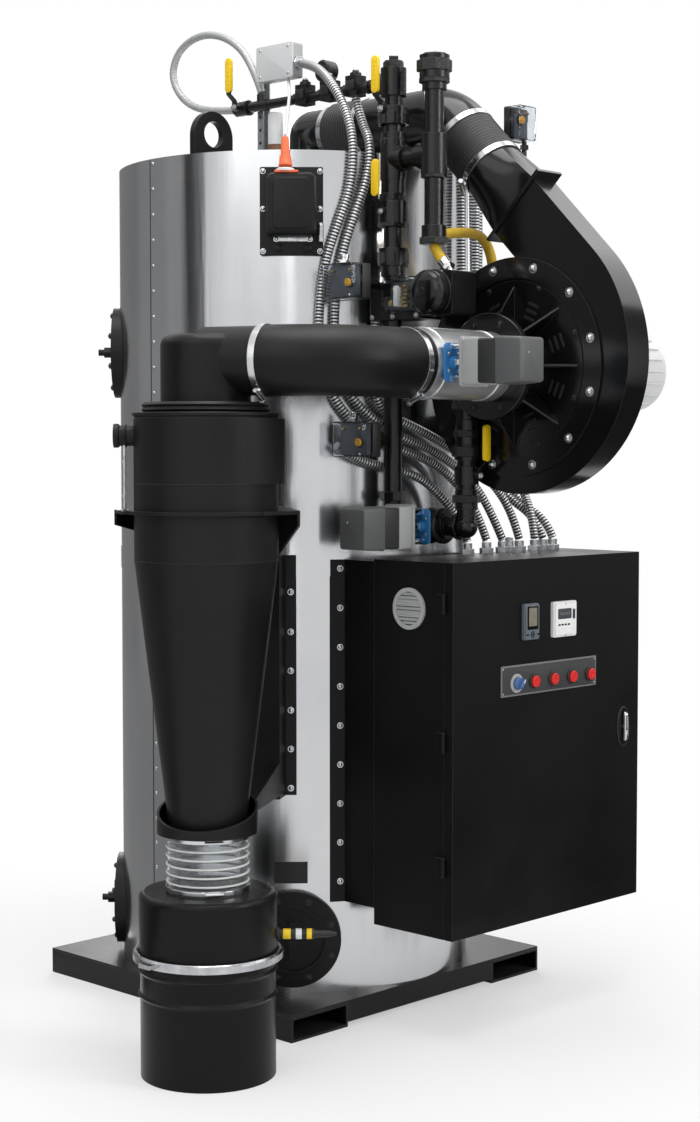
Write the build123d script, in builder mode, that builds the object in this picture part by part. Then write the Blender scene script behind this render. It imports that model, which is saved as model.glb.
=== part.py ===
from build123d import *
import math
import os

# Vertical industrial boiler with a side-mounted fan, a cyclone on the air
# intake, a gas train and a control panel. Millimetres, +Z up. The origin is
# on the boiler's axis at floor level. The panel door faces -Y.

os.makedirs("parts", exist_ok=True)

# Clearances
curved_gap = 0.3
running_gap = 1.0

# Skid
skid_side = 968.0
skid_height = 68.0
deck_t = 6.0
tube_w = 200.0
tube_t = 6.0
cross_plate_t = 6.0
cross_plate_lift = 12.0

# Jacket, vessel and top
jacket_r = 480.0
jacket_t = 2.0
jacket_top = 2225.0
joint_z = 1207.0
joint_h = 60.0
joint_lap = 1.5
cover_t = 4.0

# Lifting lugs
lug_w = 134.0
lug_t = 20.0
lug_top = 2362.0
lug_x = 305.0
lug_hole_r = 34.0
lug_hole_z = 2302.0

# Hand holes
port_r = 125.0
port_recess_r = 83.0
port_cover_r = 52.0
port_stand = 16.0
port_low_z = 213.0
port_high_z = 1738.0
port_left_angle = 135.0
port_front_angle = 225.0
yoke_w = 18.0
yoke_l = 98.0
stud_r = 9.0
stud_l = 46.0
nut_r = 16.0
nut_l = 18.0

# Control panel
panel_x = -235.0
panel_w = 762.0
panel_h = 931.0
panel_z = 264.0
panel_back_y = -529.0
body_depth = 236.0
panel_t = 3.0
door_depth = 25.0
door_gap = 3.0
door_t = 2.5
rim_w = 22.0
hinge_r = 6.0
hinge_l = 48.0
hinge_low_z = 420.0
hinge_mid_z = 730.0
hinge_high_z = 1070.0
lcd_small_w = 58.0
lcd_small_h = 92.0
lcd_small_x = 57.0
lcd_small_z = 1035.0
lcd_large_w = 96.0
lcd_large_h = 92.0
lcd_large_x = 193.0
lcd_large_z = 1034.0
module_t = 14.0
strip_x = 141.0
strip_z = 889.0
strip_w = 390.0
strip_h = 78.0
strip_t = 2.0
knob_x = 6.0
knob_z = 882.0
knob_r = 16.0
knob_l = 24.0
button_r = 15.0
button_l = 14.0
button_first_x = 74.0
button_pitch = 77.4
button_count = 4
handle_x = 458.0
handle_z = 727.0
handle_dish_w = 52.0
handle_dish_h = 104.0
handle_dish_t = 3.0
paddle_w = 16.0
paddle_l = 82.0
paddle_stand = 26.0
vent_y = -651.0
vent_z = 1077.0
vent_r = 52.0
vent_t = 7.0
vent_hole_r = 42.0
blade_count = 5
blade_h = 13.0
blade_t = 2.0

# Panel brackets
bracket_t = 4.0
bracket_x = 235.0
bracket_bottom = 306.0
bracket_top = 1190.0
bracket_foot = 34.0

# Cyclone
cyclone_x = -775.0
cyclone_y = -502.0
cyclone_r = 168.0
cyclone_top = 1556.0
shoulder_r = 14.0
cone_top = 1214.0
cone_bottom = 580.0
cone_end_r = 90.0
ring_r = 150.0
ring_h = 24.0
ring_groove = 7.0
cap_r = 105.0
cap_top = 1736.0
cap_edge = 26.0
bulge_r = 150.0
bulge_off = 34.0
bulge_bottom = 1392.0
spigot_r = 24.0
spigot_l = 46.0
spigot_z = 1503.0

# Cyclone support
channel_half = 85.0
channel_out = 544.0
channel_t = 4.0
channel_foot = 26.0
channel_bottom = 586.0
channel_top = 1202.0
shelf_z = 1322.0
shelf_t = 8.0
shelf_half = 224.0
shelf_nose_r = 187.0
gusset_t = 6.0
gusset_tip = 28.0
gusset_root = 116.0
cradle_r = 119.0
cradle_t = 6.0
cradle_low = 22.0
cradle_high = 82.0
arm_h = 16.0

# Clear hose and drum
clear_r = 95.0
clear_t = 3.0
clear_wave = 4.0
clear_waves = 5
hood_r = 163.0
hood_top = 436.0
drum_r = 160.0
drum_rib = 5.0
rib_h = 14.0
rib_high_z = 254.0
rib_low_z = 196.0
drum_ring_r = 177.0
drum_ring_z = 289.0
drum_ring_h = 20.0
sensor_z = 331.0
sensor_angle = -46.0
sensor_r = 11.0
sensor_l = 150.0

# Fan, its axis along X
fan_x = -10.0
fan_w = 82.0
fan_y = -796.0
fan_z = 1674.5
volute_step = 35.0
volute_r = 262.5
outlet_inner = 193.0
outlet_end = 283.0
inlet_ring_r = 273.0
inlet_ring_in = 221.0
inlet_ring_t = 6.0
inlet_disc_r = 215.0
inlet_disc_t = 3.0
inlet_tube_r = 92.0
inlet_flange_r = 130.0
inlet_flange_t = 8.0
inlet_end_x = -105.0
fin_t = 5.0
fin_r = 200.0
motor_r = 100.0
motor_end = 507.0
motor_plate_r = 120.0
motor_plate_t = 18.0
motor_box_x = 250.0
motor_box_w = 96.0
motor_box_h = 46.0
fan_foot_x = 195.0
fan_foot_l = 190.0
fan_plate_t = 8.0
fan_bracket_w = 210.0
fan_bracket_front = -900.0
fan_gusset_h = 70.0
bracket_top_z = 1560.0
mouth_rim_t = 8.0
rim_lip = 26.0

# Hot-side duct from the fan to the burner
duct_r = 80.0
transition_l = 140.0
sleeve_l = 150.0
duct_z = 2326.0
elbow_r = 147.0
flex_start_y = -275.0
flex_end_y = -131.0
burner_y = -56.0
burner_duct_r = 74.0
burner_flange_r = 112.0
burner_flange_t = 14.0
clamp_w = 16.0
clamp_t = 2.0

# Intake hose and damper
hose_r = 82.0
hose_bend_r = 230.0
hose_turn_deg = 67.8
cap_spout_l = 142.0
hose_end_x = -386.0
hose_corner_x = -655.0
damper_r = 84.0
shaft_x = -343.0
actuator_w = 100.0
actuator_h = 116.0
actuator_l = 178.0
actuator_cap = 74.0
yoke_gap = 62.0
yoke_plate_t = 4.0
yoke_post_r = 6.0
gas_yoke_gap = 82.0

# Gas pipework: riser, supply column, valve train and the pipe to the fan
pipe_r = 24.0
coupling_r = 31.0
union_r = 38.0
tee_r = 33.0
tee_reach = 46.0
bead_h = 10.0
bead_out = 4.0
riser_x = -158.0
riser_y = -521.0
riser_top = 2445.0
pilot_tee_h = 70.0
riser_union_z = 2308.0
riser_bush_z = 2257.0
riser_bush_h = 18.0
cross_z = 2199.0
cross_tee_h = 100.0
riser_coupling_z = 2122.0
riser_coupling_h = 54.0
main_valve_z = 2067.0
main_valve_h = 56.0
low_union_z = 1955.0
low_union_h = 44.0
low_sleeve_z = 1920.0
low_sleeve_h = 26.0
supply_y = -659.0
supply_union_z = 2412.0
supply_neck_z = 2370.0
supply_neck_h = 28.0
supply_cap_z = 2003.0
supply_cap_h = 42.0
supply_top = 2441.0
train_w = 88.0
train_top = 1891.0
train_h = 96.0
train_front = -650.0
train_back = -478.0
downpipe_rise = 80.0
loop_x = -49.0
loop_y = -674.0
loop_elbow_r = 29.0
down_elbow_r = 26.0
loop_union_rise = 70.0
loop_union_h = 50.0
loop_valve_rise = 130.0
loop_valve_h = 46.0
loop_nut_rise = 188.0
loop_nut_h = 38.0
loop_sleeve_rise = 239.0
loop_sleeve_h = 62.0
loop_top_nut_rise = 313.0
gas_valve_y = -575.0
gas_valve_r = 46.0
gas_valve_l = 56.0
regulator_h = 108.0
regulator_z = 1854.0
vent_fitting_y = -696.0
dome_r = 52.0
dome_l = 34.0
pilot_z = 2392.0
pilot_r = 13.0
pilot_valve_y = 33.0
pilot_valve_l = 44.0
pilot_end_y = 66.0
pilot_tee_y = -38.0
pilot_tee_top = 2421.0
solenoid_first_y = -205.0
solenoid_pitch = 92.0
solenoid_count = 3
solenoid_w = 38.0
solenoid_h = 52.0
lever_w = 17.0
lever_t = 3.0
stem_r = 6.0
lever_l = 118.0
lever_offset = 30.0

# Small boxes
switch_w = 68.0
switch_h = 88.0
switch_l = 104.0
switch_base = 30.0
switch_corner = 8.0
ignition_w = 160.0
ignition_h = 222.0
ignition_z = 2070.0
ignition_plate_t = 4.0
ignition_cover_w = 132.0
ignition_cover_h = 164.0
ignition_cover_t = 62.0
junction_w = 136.0
junction_h = 90.0
junction_d = 42.0
junction_y = -113.0
junction_z = 2494.0
strut_x = -129.0
strut_w = 26.0
strut_d = 22.0
strut_t = 2.5
strut_y = -16.0
strut_top = 2520.0
sight_pipe_r = 20.0
sight_pipe_x = -136.0
sight_pipe_y = -68.0
sight_pipe_top = 2372.0

# Flexible conduits and hoses
conduit_r = 11.0
braid_r = 10.0
yellow_r = 13.0
lead_r = 4.0
boot_r = 17.0
fitting_y = -560.0
gland_steps = (322.0, 400.0, 466.0, 493.0, 536.0, 602.0, 638.0, 680.0)
fitting_r = 19.0
fitting_h = 30.0
end_gap = 5.0

# Derived places
fan_plane_x = fan_x + fan_w / 2
door_back_y = panel_back_y - body_depth - door_gap
door_front_y = door_back_y - door_depth
core_r = jacket_r - jacket_t - curved_gap
cyclone_out = math.hypot(cyclone_x, cyclone_y)
cyclone_angle = math.degrees(math.atan2(cyclone_y, cyclone_x))
panel_mid_x = panel_x + panel_w / 2
panel_mid_z = panel_z + panel_h / 2
panel_top = panel_z + panel_h
downpipe_z = panel_top + downpipe_rise
loop_valve_z = downpipe_z + loop_valve_rise
gland_x = [panel_x + step for step in gland_steps]
entry_z = panel_top + fitting_h + 0.8 * end_gap
outlet_outer = volute_r + 3 * volute_step
outlet_mid = (outlet_inner + outlet_outer) / 2
outlet_w = outlet_outer - outlet_inner


# Label a finished piece and write it as its own file
def write(piece, name):
    piece.part.label = name
    export_step(piece.part, "parts/" + name + ".step")


# Join pieces of one kind, or pieces fixed to each other, in one node
def gather(pieces, name):
    with BuildPart() as group:
        for piece in pieces:
            add(piece.part)
    write(group, name)


# A plane facing outwards from the boiler's axis, with its own X level
def radial_plane(angle, out, height):
    turn = math.radians(angle)
    normal = (math.cos(turn), math.sin(turn), 0)
    level = (-math.sin(turn), math.cos(turn), 0)
    return Plane(origin=(out * normal[0], out * normal[1], height), x_dir=level, z_dir=normal)


# A level plane whose X runs from the boiler's axis to the cyclone
def cyclone_plane(height):
    turn = math.radians(cyclone_angle)
    return Plane(origin=(0, 0, height), x_dir=(math.cos(turn), math.sin(turn), 0), z_dir=(0, 0, 1))


# World Y and Z of a point in the fan's outlet, along and across its flow
def fan_flow(along, across):
    half = math.sqrt(0.5)
    forward = half * across - half * along
    return fan_y - forward, fan_z + half * across + half * along


# The plane across the outlet's flow at a distance from the fan's axis
def outlet_plane(along):
    y, z = fan_flow(along, outlet_mid)
    half = math.sqrt(0.5)
    return Plane(origin=(fan_plane_x, y, z), x_dir=(1, 0, 0), z_dir=(0, half, half))


# A round tube through straight runs joined by large tangent arcs
def tube(points, radius, bore=0.0):
    corners = [Vector(*point) for point in points]
    bends = []
    for before, here, after in zip(corners, corners[1:], corners[2:]):
        arrive, leave = here - before, after - here
        half_turn = math.radians(arrive.get_angle(leave)) / 2
        bends.append(0.45 * min(arrive.length, leave.length) / math.tan(half_turn))
    with BuildPart() as run:
        with BuildLine() as route:
            FilletPolyline(*points, radius=bends)
        with BuildSketch(Plane(origin=corners[0], z_dir=corners[1] - corners[0])):
            Circle(radius)
            if bore:
                Circle(bore, mode=Mode.SUBTRACT)
        sweep(path=route.wires()[0])
    expected = route.wires()[0].length * math.pi * (radius**2 - bore**2)
    print("tube", round(min(bends)), "smallest bend,", round(run.part.volume / expected, 4))
    return run


# Several tubes of one size in one node
def bundle(routes, radius, name):
    gather([tube(points, radius) for points in routes], name)


# Skid: two fork tubes under a deck, closed by cross plates
tube_h = skid_height - deck_t
tube_x = (skid_side - tube_w) / 2
with BuildPart() as skid_deck:
    with BuildSketch(Plane.XY.offset(tube_h)):
        Rectangle(skid_side, skid_side)
    extrude(amount=deck_t)

for side, name in ((-1, "fork_tube_left"), (1, "fork_tube_right")):
    with BuildPart() as fork_tube:
        with BuildSketch(Plane.XZ.offset(-skid_side / 2)):
            with Locations((side * tube_x, tube_h / 2)):
                Rectangle(tube_w, tube_h)
                Rectangle(tube_w - 2 * tube_t, tube_h - 2 * tube_t, mode=Mode.SUBTRACT)
        extrude(amount=skid_side)
    write(fork_tube, name)

with BuildPart() as skid_cross_plates:
    with BuildSketch(Plane.XY.offset(cross_plate_lift)):
        with GridLocations(0, skid_side - cross_plate_t, 1, 2):
            Rectangle(skid_side - 2 * tube_w, cross_plate_t)
    extrude(amount=tube_h - cross_plate_lift)
gather((skid_deck, skid_cross_plates), "skid_deck")

# Vessel with its insulation, and the two jacket sections round it
with BuildPart() as insulated_vessel:
    with BuildSketch(Plane.XY.offset(skid_height)):
        Circle(core_r)
    extrude(amount=jacket_top - cover_t - skid_height)
write(insulated_vessel, "insulated_vessel")

with BuildPart() as jacket_lower:
    with BuildSketch(Plane.XY.offset(skid_height)):
        Circle(jacket_r)
        Circle(jacket_r - jacket_t, mode=Mode.SUBTRACT)
    extrude(amount=joint_z - skid_height)
    with BuildSketch(Plane.XY.offset(joint_z - joint_h)):
        Circle(jacket_r + joint_lap)
        Circle(jacket_r, mode=Mode.SUBTRACT)
    extrude(amount=joint_h)
write(jacket_lower, "jacket_lower")

with BuildPart() as jacket_upper:
    with BuildSketch(Plane.XY.offset(joint_z)):
        Circle(jacket_r)
        Circle(jacket_r - jacket_t, mode=Mode.SUBTRACT)
    extrude(amount=jacket_top - joint_z)
write(jacket_upper, "jacket_upper")

with BuildPart() as top_cover:
    with BuildSketch(Plane.XY.offset(jacket_top - cover_t)):
        Circle(core_r)
    extrude(amount=cover_t)
write(top_cover, "top_cover")

# Lifting lugs: plates with rounded tops, standing on the top cover
lugs = []
crown_z = lug_top - lug_w / 2
for side in (-1, 1):
    with BuildPart() as lifting_lug:
        with BuildSketch(Plane.XZ.offset(-lug_t / 2)):
            with Locations((side * lug_x, (jacket_top + crown_z) / 2)):
                Rectangle(lug_w, crown_z - jacket_top)
            with Locations((side * lug_x, crown_z)):
                Circle(lug_w / 2)
            with Locations((side * lug_x, lug_hole_z)):
                Circle(lug_hole_r, mode=Mode.SUBTRACT)
        extrude(amount=lug_t)
    lugs.append(lifting_lug)
gather(lugs, "lifting_lugs")

# Hand holes: a dished ring on the jacket, a cover, a yoke and its stud
port_places = (
    (port_front_angle, port_low_z),
    (port_left_angle, port_low_z),
    (port_left_angle, port_high_z),
)
ports = []
for angle, height in port_places:
    face = radial_plane(angle, jacket_r + port_stand, height)
    reach = jacket_r + port_stand
    with BuildPart() as hand_hole:
        with BuildSketch(face):
            Circle(port_r)
        extrude(amount=-reach / 4)
        with BuildSketch(face):
            Circle(port_recess_r)
        extrude(amount=-port_stand / 2, mode=Mode.SUBTRACT)
        with BuildSketch(face.offset(-port_stand / 2)):
            Ellipse(port_cover_r * 0.72, port_cover_r)
        extrude(amount=port_stand / 4)
        with BuildSketch(face.offset(-port_stand / 4)):
            SlotOverall(yoke_l, yoke_w, rotation=90)
        extrude(amount=port_stand)
        with BuildSketch(face.offset(port_stand * 0.75)):
            RegularPolygon(nut_r, 6)
        extrude(amount=nut_l)
        with BuildSketch(face):
            Circle(stud_r)
        extrude(amount=stud_l)
        with BuildSketch(Plane.XY.offset(height - port_r)):
            Circle(jacket_r + curved_gap)
        extrude(amount=2 * port_r, mode=Mode.SUBTRACT)
    ports.append(hand_hole)
gather(ports, "hand_holes")

# Panel body: a box open at the front, with a rim that the door closes on
with BuildPart() as panel_body:
    with BuildSketch(Plane.XZ.offset(-panel_back_y)):
        with Locations((panel_mid_x, panel_mid_z)):
            Rectangle(panel_w, panel_h)
    extrude(amount=body_depth)
    with BuildSketch(Plane.XZ.offset(-panel_back_y + panel_t)):
        with Locations((panel_mid_x, panel_mid_z)):
            Rectangle(panel_w - 2 * panel_t, panel_h - 2 * panel_t)
    extrude(amount=body_depth - 2 * panel_t, mode=Mode.SUBTRACT)
    with BuildSketch(Plane.XZ.offset(-panel_back_y + body_depth - panel_t)):
        with Locations((panel_mid_x, panel_mid_z)):
            Rectangle(panel_w - 2 * rim_w, panel_h - 2 * rim_w)
    extrude(amount=panel_t, mode=Mode.SUBTRACT)
    with BuildSketch(Plane.YZ.offset(panel_x)):
        with Locations((vent_y, vent_z)):
            Circle(vent_hole_r - running_gap)
    extrude(amount=panel_t, mode=Mode.SUBTRACT)

with BuildPart() as panel_inner_plate:
    with BuildSketch(Plane.XZ.offset(-panel_back_y + panel_t)):
        with Locations((panel_mid_x, panel_mid_z)):
            Rectangle(panel_w - 4 * rim_w, panel_h - 4 * rim_w)
    extrude(amount=panel_t)

# Vent on the panel's left side: a ring with slanted blades
with BuildPart() as panel_vent:
    with BuildSketch(Plane.YZ.offset(panel_x)):
        with Locations((vent_y, vent_z)):
            Circle(vent_r)
            Circle(vent_hole_r, mode=Mode.SUBTRACT)
    extrude(amount=-vent_t)
    for index in range(blade_count):
        rise = (index - (blade_count - 1) / 2) * blade_h
        half_chord = math.sqrt(vent_hole_r**2 - rise**2) + running_gap
        blade_plane = Plane(
            origin=(panel_x - vent_t / 2, vent_y, vent_z + rise),
            x_dir=(0, 1, 0),
            z_dir=(1, 0, 1),
        )
        with BuildSketch(blade_plane):
            Rectangle(2 * half_chord, vent_t)
        extrude(amount=blade_t / 2, both=True)
write(panel_vent, "panel_vent")

# Panel door: a tray with turned edges, and what is fixed on it
door_face = Plane.XZ.offset(-door_front_y)
with BuildPart() as panel_door:
    with BuildSketch(Plane.XZ.offset(-door_back_y)):
        with Locations((panel_mid_x, panel_mid_z)):
            Rectangle(panel_w, panel_h)
    extrude(amount=door_depth)
    with BuildSketch(Plane.XZ.offset(-door_back_y)):
        with Locations((panel_mid_x, panel_mid_z)):
            Rectangle(panel_w - 2 * door_t, panel_h - 2 * door_t)
    extrude(amount=door_depth - door_t, mode=Mode.SUBTRACT)

hinge_x = panel_x - hinge_r - running_gap
hinge_y = door_back_y
hinge_heights = (hinge_low_z, hinge_mid_z, hinge_high_z)
with BuildPart() as door_hinges:
    for height in hinge_heights:
        with BuildSketch(Plane.XY.offset(height)):
            with Locations((hinge_x, hinge_y)):
                Circle(hinge_r)
            with Locations((hinge_x + hinge_r / 2 + running_gap / 2, hinge_y + 2 * hinge_r)):
                Rectangle(hinge_r + running_gap, 4 * hinge_r)
        extrude(amount=hinge_l)
gather((panel_body, panel_inner_plate, door_hinges), "panel_body")

with BuildPart() as small_display:
    with BuildSketch(door_face):
        with Locations((lcd_small_x, lcd_small_z)):
            RectangleRounded(lcd_small_w, lcd_small_h, 4)
    extrude(amount=module_t)

with BuildPart() as large_display:
    with BuildSketch(door_face):
        with Locations((lcd_large_x, lcd_large_z)):
            RectangleRounded(lcd_large_w, lcd_large_h, 6)
    extrude(amount=module_t / 2)
    with BuildSketch(door_face.offset(module_t / 2)):
        with Locations((lcd_large_x, lcd_large_z)):
            RectangleRounded(lcd_large_w * 0.84, lcd_large_h * 0.84, 5)
    extrude(amount=module_t / 2)
gather((small_display, large_display), "door_displays")

with BuildPart() as switch_strip:
    with BuildSketch(door_face):
        with Locations((strip_x, strip_z)):
            RectangleRounded(strip_w, strip_h, 6)
    extrude(amount=strip_t)

with BuildPart() as push_buttons:
    for index in range(button_count):
        with BuildSketch(door_face.offset(strip_t)):
            with Locations((button_first_x + index * button_pitch, knob_z)):
                Circle(button_r)
        extrude(amount=button_l)
gather((switch_strip, push_buttons), "switch_strip")

with BuildPart() as selector_knob:
    with BuildSketch(door_face.offset(strip_t + curved_gap)):
        with Locations((knob_x, knob_z)):
            Circle(knob_r)
    extrude(amount=knob_l / 3)
    with BuildSketch(door_face.offset(strip_t + curved_gap + knob_l / 3)):
        with Locations((knob_x, knob_z)):
            SlotOverall(1.9 * knob_r, knob_r, rotation=90)
    extrude(amount=2 * knob_l / 3)
write(selector_knob, "selector_knob")

with BuildPart() as handle_dish:
    with BuildSketch(door_face):
        with Locations((handle_x, handle_z)):
            Ellipse(handle_dish_w / 2, handle_dish_h / 2)
    extrude(amount=handle_dish_t)
gather((panel_door, handle_dish), "panel_door")

with BuildPart() as door_handle:
    with BuildSketch(door_face.offset(handle_dish_t + curved_gap)):
        with Locations((handle_x, handle_z)):
            Circle(paddle_w / 2)
    extrude(amount=paddle_stand / 2)
    with BuildSketch(door_face.offset(handle_dish_t + curved_gap + paddle_stand / 2)):
        with Locations((handle_x, handle_z)):
            SlotOverall(paddle_l, paddle_w, rotation=90)
    extrude(amount=paddle_stand / 2)
write(door_handle, "door_handle")

# Panel brackets: webs with curved feet bolted to the jacket
brackets = []
for side in (-1, 1):
    outer = side * (bracket_x + bracket_foot - bracket_t)
    inner = side * (bracket_x - bracket_t)
    web_mid = side * (bracket_x - bracket_t / 2)
    foot_r = jacket_r + curved_gap
    front_y = -math.sqrt(foot_r**2 - (bracket_x - bracket_t) ** 2)
    with BuildPart() as panel_bracket:
        with BuildSketch(Plane.XY.offset(bracket_bottom)):
            Circle(foot_r + bracket_t)
            with Locations(((outer + inner) / 2, panel_back_y)):
                Rectangle(abs(outer - inner), 2 * (front_y - panel_back_y) + 120, mode=Mode.INTERSECT)
            with Locations((web_mid, (panel_back_y + front_y) / 2)):
                Rectangle(bracket_t, front_y - panel_back_y)
            Circle(foot_r, mode=Mode.SUBTRACT)
        extrude(amount=bracket_top - bracket_bottom)
        with BuildSketch(Plane.XY.offset(joint_z - joint_h - curved_gap)):
            Circle(jacket_r + joint_lap + curved_gap)
        extrude(amount=joint_h + 2 * curved_gap, mode=Mode.SUBTRACT)
    brackets.append(panel_bracket)
gather(brackets, "panel_brackets")

# Cyclone: cap with its spout, grooved ring, body with the inlet bulge, cone
cap_turn = math.radians(-hose_turn_deg)
spout_dir = (math.cos(cap_turn), math.sin(cap_turn), 0)
spout_start = (
    cyclone_x + cap_spout_l * spout_dir[0],
    cyclone_y + cap_spout_l * spout_dir[1],
    fan_z,
)
cyclone_axis = Plane(origin=(cyclone_x, cyclone_y, 0), x_dir=(1, 0, 0), z_dir=(0, -1, 0))
ring_top = cyclone_top + ring_h
with BuildPart() as cyclone_cap:
    with BuildSketch(Plane(origin=(cyclone_x, cyclone_y, ring_top))):
        Circle(cap_r)
    extrude(amount=cap_top - ring_top)
    fillet(cyclone_cap.edges().group_by(Axis.Z)[-1], radius=cap_edge)
    with BuildSketch(Plane(origin=(cyclone_x, cyclone_y, fan_z), z_dir=spout_dir)):
        Circle(hose_r - clamp_t)
    extrude(amount=cap_spout_l)

with BuildPart() as cyclone_ring:
    with BuildSketch(cyclone_axis):
        with BuildLine():
            Polyline(
                (0, cyclone_top),
                (ring_r - ring_groove, cyclone_top),
                (ring_r, cyclone_top + ring_h / 4),
                (ring_r - ring_groove / 2, cyclone_top + ring_h / 2),
                (ring_r, cyclone_top + 3 * ring_h / 4),
                (ring_r - ring_groove, ring_top),
                (0, ring_top),
                close=True,
            )
        make_face()
    revolve(axis=Axis((cyclone_x, cyclone_y, 0), (0, 0, 1)))
gather((cyclone_cap, cyclone_ring), "cyclone_cap")

bulge_turn = math.radians(-45)
bulge_x = cyclone_x + bulge_off * math.cos(bulge_turn)
bulge_y = cyclone_y + bulge_off * math.sin(bulge_turn)
with BuildPart() as cyclone_body:
    with BuildSketch(cyclone_axis):
        with BuildLine():
            Polyline(
                (0, cone_bottom),
                (cone_end_r, cone_bottom),
                (cyclone_r, cone_top),
                (cyclone_r, cyclone_top - shoulder_r),
                (cyclone_r - shoulder_r / 3, cyclone_top - shoulder_r / 3),
                (cyclone_r - shoulder_r, cyclone_top),
                (0, cyclone_top),
                close=True,
            )
        make_face()
    revolve(axis=Axis((cyclone_x, cyclone_y, 0), (0, 0, 1)))
    with BuildSketch(Plane(origin=(bulge_x, bulge_y, bulge_bottom))):
        Circle(bulge_r)
    extrude(amount=cyclone_top - shoulder_r - bulge_bottom)

spigot_plane = Plane(origin=(cyclone_x, cyclone_y, spigot_z), z_dir=(-1, 1, 0))
with BuildPart() as cyclone_spigot:
    with BuildSketch(spigot_plane):
        Circle(spigot_r)
    extrude(amount=cyclone_r + spigot_l)
    with BuildSketch(spigot_plane.offset(cyclone_r + spigot_l - bead_h)):
        Circle(spigot_r + bead_out)
    extrude(amount=bead_h)
gather((cyclone_body, cyclone_spigot), "cyclone_body")

# Cyclone support: a channel on the jacket, a shelf and a cradle
with BuildPart() as cyclone_channel:
    with BuildSketch(cyclone_plane(channel_bottom)):
        Circle(jacket_r + curved_gap + channel_t)
        with Locations((jacket_r, 0)):
            Rectangle(jacket_r, 2 * (channel_half + channel_foot), mode=Mode.INTERSECT)
        Circle(jacket_r + curved_gap, mode=Mode.SUBTRACT)
    extrude(amount=channel_top - channel_bottom)
    with BuildSketch(cyclone_plane(channel_bottom)):
        with Locations(((jacket_r / 2 + channel_out) / 2, 0)):
            Rectangle(channel_out - jacket_r / 2, 2 * channel_half)
        Circle(jacket_r + curved_gap, mode=Mode.SUBTRACT)
    extrude(amount=shelf_z - channel_bottom)
    with BuildSketch(cyclone_plane(channel_bottom)):
        with Locations(((jacket_r / 2 + channel_out) / 2 - channel_t, 0)):
            Rectangle(channel_out - jacket_r / 2, 2 * (channel_half - channel_t))
    extrude(amount=shelf_z - channel_bottom, mode=Mode.SUBTRACT)
    with BuildSketch(Plane.XY.offset(joint_z - joint_h - curved_gap)):
        Circle(jacket_r + joint_lap + curved_gap)
    extrude(amount=joint_h + 2 * curved_gap, mode=Mode.SUBTRACT)

shelf_plane = cyclone_plane(shelf_z)
with BuildPart() as cyclone_shelf:
    with BuildSketch(shelf_plane):
        with BuildLine():
            Polyline(
                (jacket_r + channel_foot, -channel_half),
                (channel_out, -channel_half),
                (cyclone_out, -shelf_half),
                (cyclone_out + shelf_nose_r / 2, -shelf_nose_r * 0.94),
                (cyclone_out + shelf_nose_r / 2, shelf_nose_r * 0.94),
                (cyclone_out, shelf_half),
                (channel_out, channel_half),
                (jacket_r + channel_foot, channel_half),
                close=True,
            )
        make_face()
        with Locations((cyclone_out, 0)):
            Circle(shelf_nose_r)
            Circle(cyclone_r + curved_gap, mode=Mode.SUBTRACT)
    extrude(amount=shelf_t)
    for side in (-1, 1):
        root = shelf_plane.from_local_coords((channel_out, side * channel_half, 0))
        tip = shelf_plane.from_local_coords((cyclone_out, side * shelf_half, 0))
        gusset_plane = Plane(origin=root, x_dir=tip - root, z_dir=(tip - root).cross(Vector(0, 0, 1)))
        gusset_l = (tip - root).length
        with BuildSketch(gusset_plane):
            with BuildLine():
                Polyline(
                    (-channel_t, 0),
                    (gusset_l, 0),
                    (gusset_l, -gusset_tip),
                    (-channel_t, -gusset_root),
                    close=True,
                )
            make_face()
        extrude(amount=side * gusset_t)

# Cradle under the cone: floor ring, sloped band and two arms
cradle_plane = cyclone_plane(cone_bottom - cradle_t)
with BuildPart() as cyclone_cradle:
    with BuildSketch(cradle_plane):
        with Locations((cyclone_out, 0)):
            Circle(cradle_r)
            Circle(cone_end_r / 2, mode=Mode.SUBTRACT)
    extrude(amount=cradle_t)
    with BuildSketch(cyclone_plane(cone_bottom)):
        with Locations((cyclone_out, 0)):
            Circle(cradle_r)
            Circle(cradle_r - cradle_t, mode=Mode.SUBTRACT)
    extrude(amount=cradle_high)
    side_plane = Plane(
        origin=cyclone_plane(cone_bottom).origin,
        x_dir=cyclone_plane(cone_bottom).x_dir,
        z_dir=cyclone_plane(cone_bottom).x_dir.cross(Vector(0, 0, 1)),
    )
    with BuildSketch(side_plane):
        with BuildLine():
            Polyline(
                (cyclone_out - cradle_r, cradle_high),
                (cyclone_out + 2 * cradle_r, cradle_low - cradle_high / 2),
                (cyclone_out + 2 * cradle_r, 2 * cradle_high),
                (cyclone_out - cradle_r, 2 * cradle_high),
                close=True,
            )
        make_face()
    extrude(amount=2 * cradle_r, both=True, mode=Mode.SUBTRACT)
    for side in (-1, 1):
        with BuildSketch(side_plane.offset(side * (channel_half - cradle_t / 2))):
            with BuildLine():
                Polyline(
                    (channel_out, arm_h),
                    (cyclone_out - cradle_r / 2, cradle_low),
                    (cyclone_out - cradle_r / 2, cradle_low + arm_h),
                    (channel_out, cradle_high + arm_h),
                    close=True,
                )
            make_face()
        extrude(amount=cradle_t / 2, both=True)
    with BuildSketch(cyclone_plane(cone_bottom)):
        with Locations((cyclone_out, 0)):
            Circle(cradle_r - cradle_t)
    extrude(amount=2 * cradle_high, mode=Mode.SUBTRACT)
gather((cyclone_channel, cyclone_shelf, cyclone_cradle), "cyclone_support")

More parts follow.
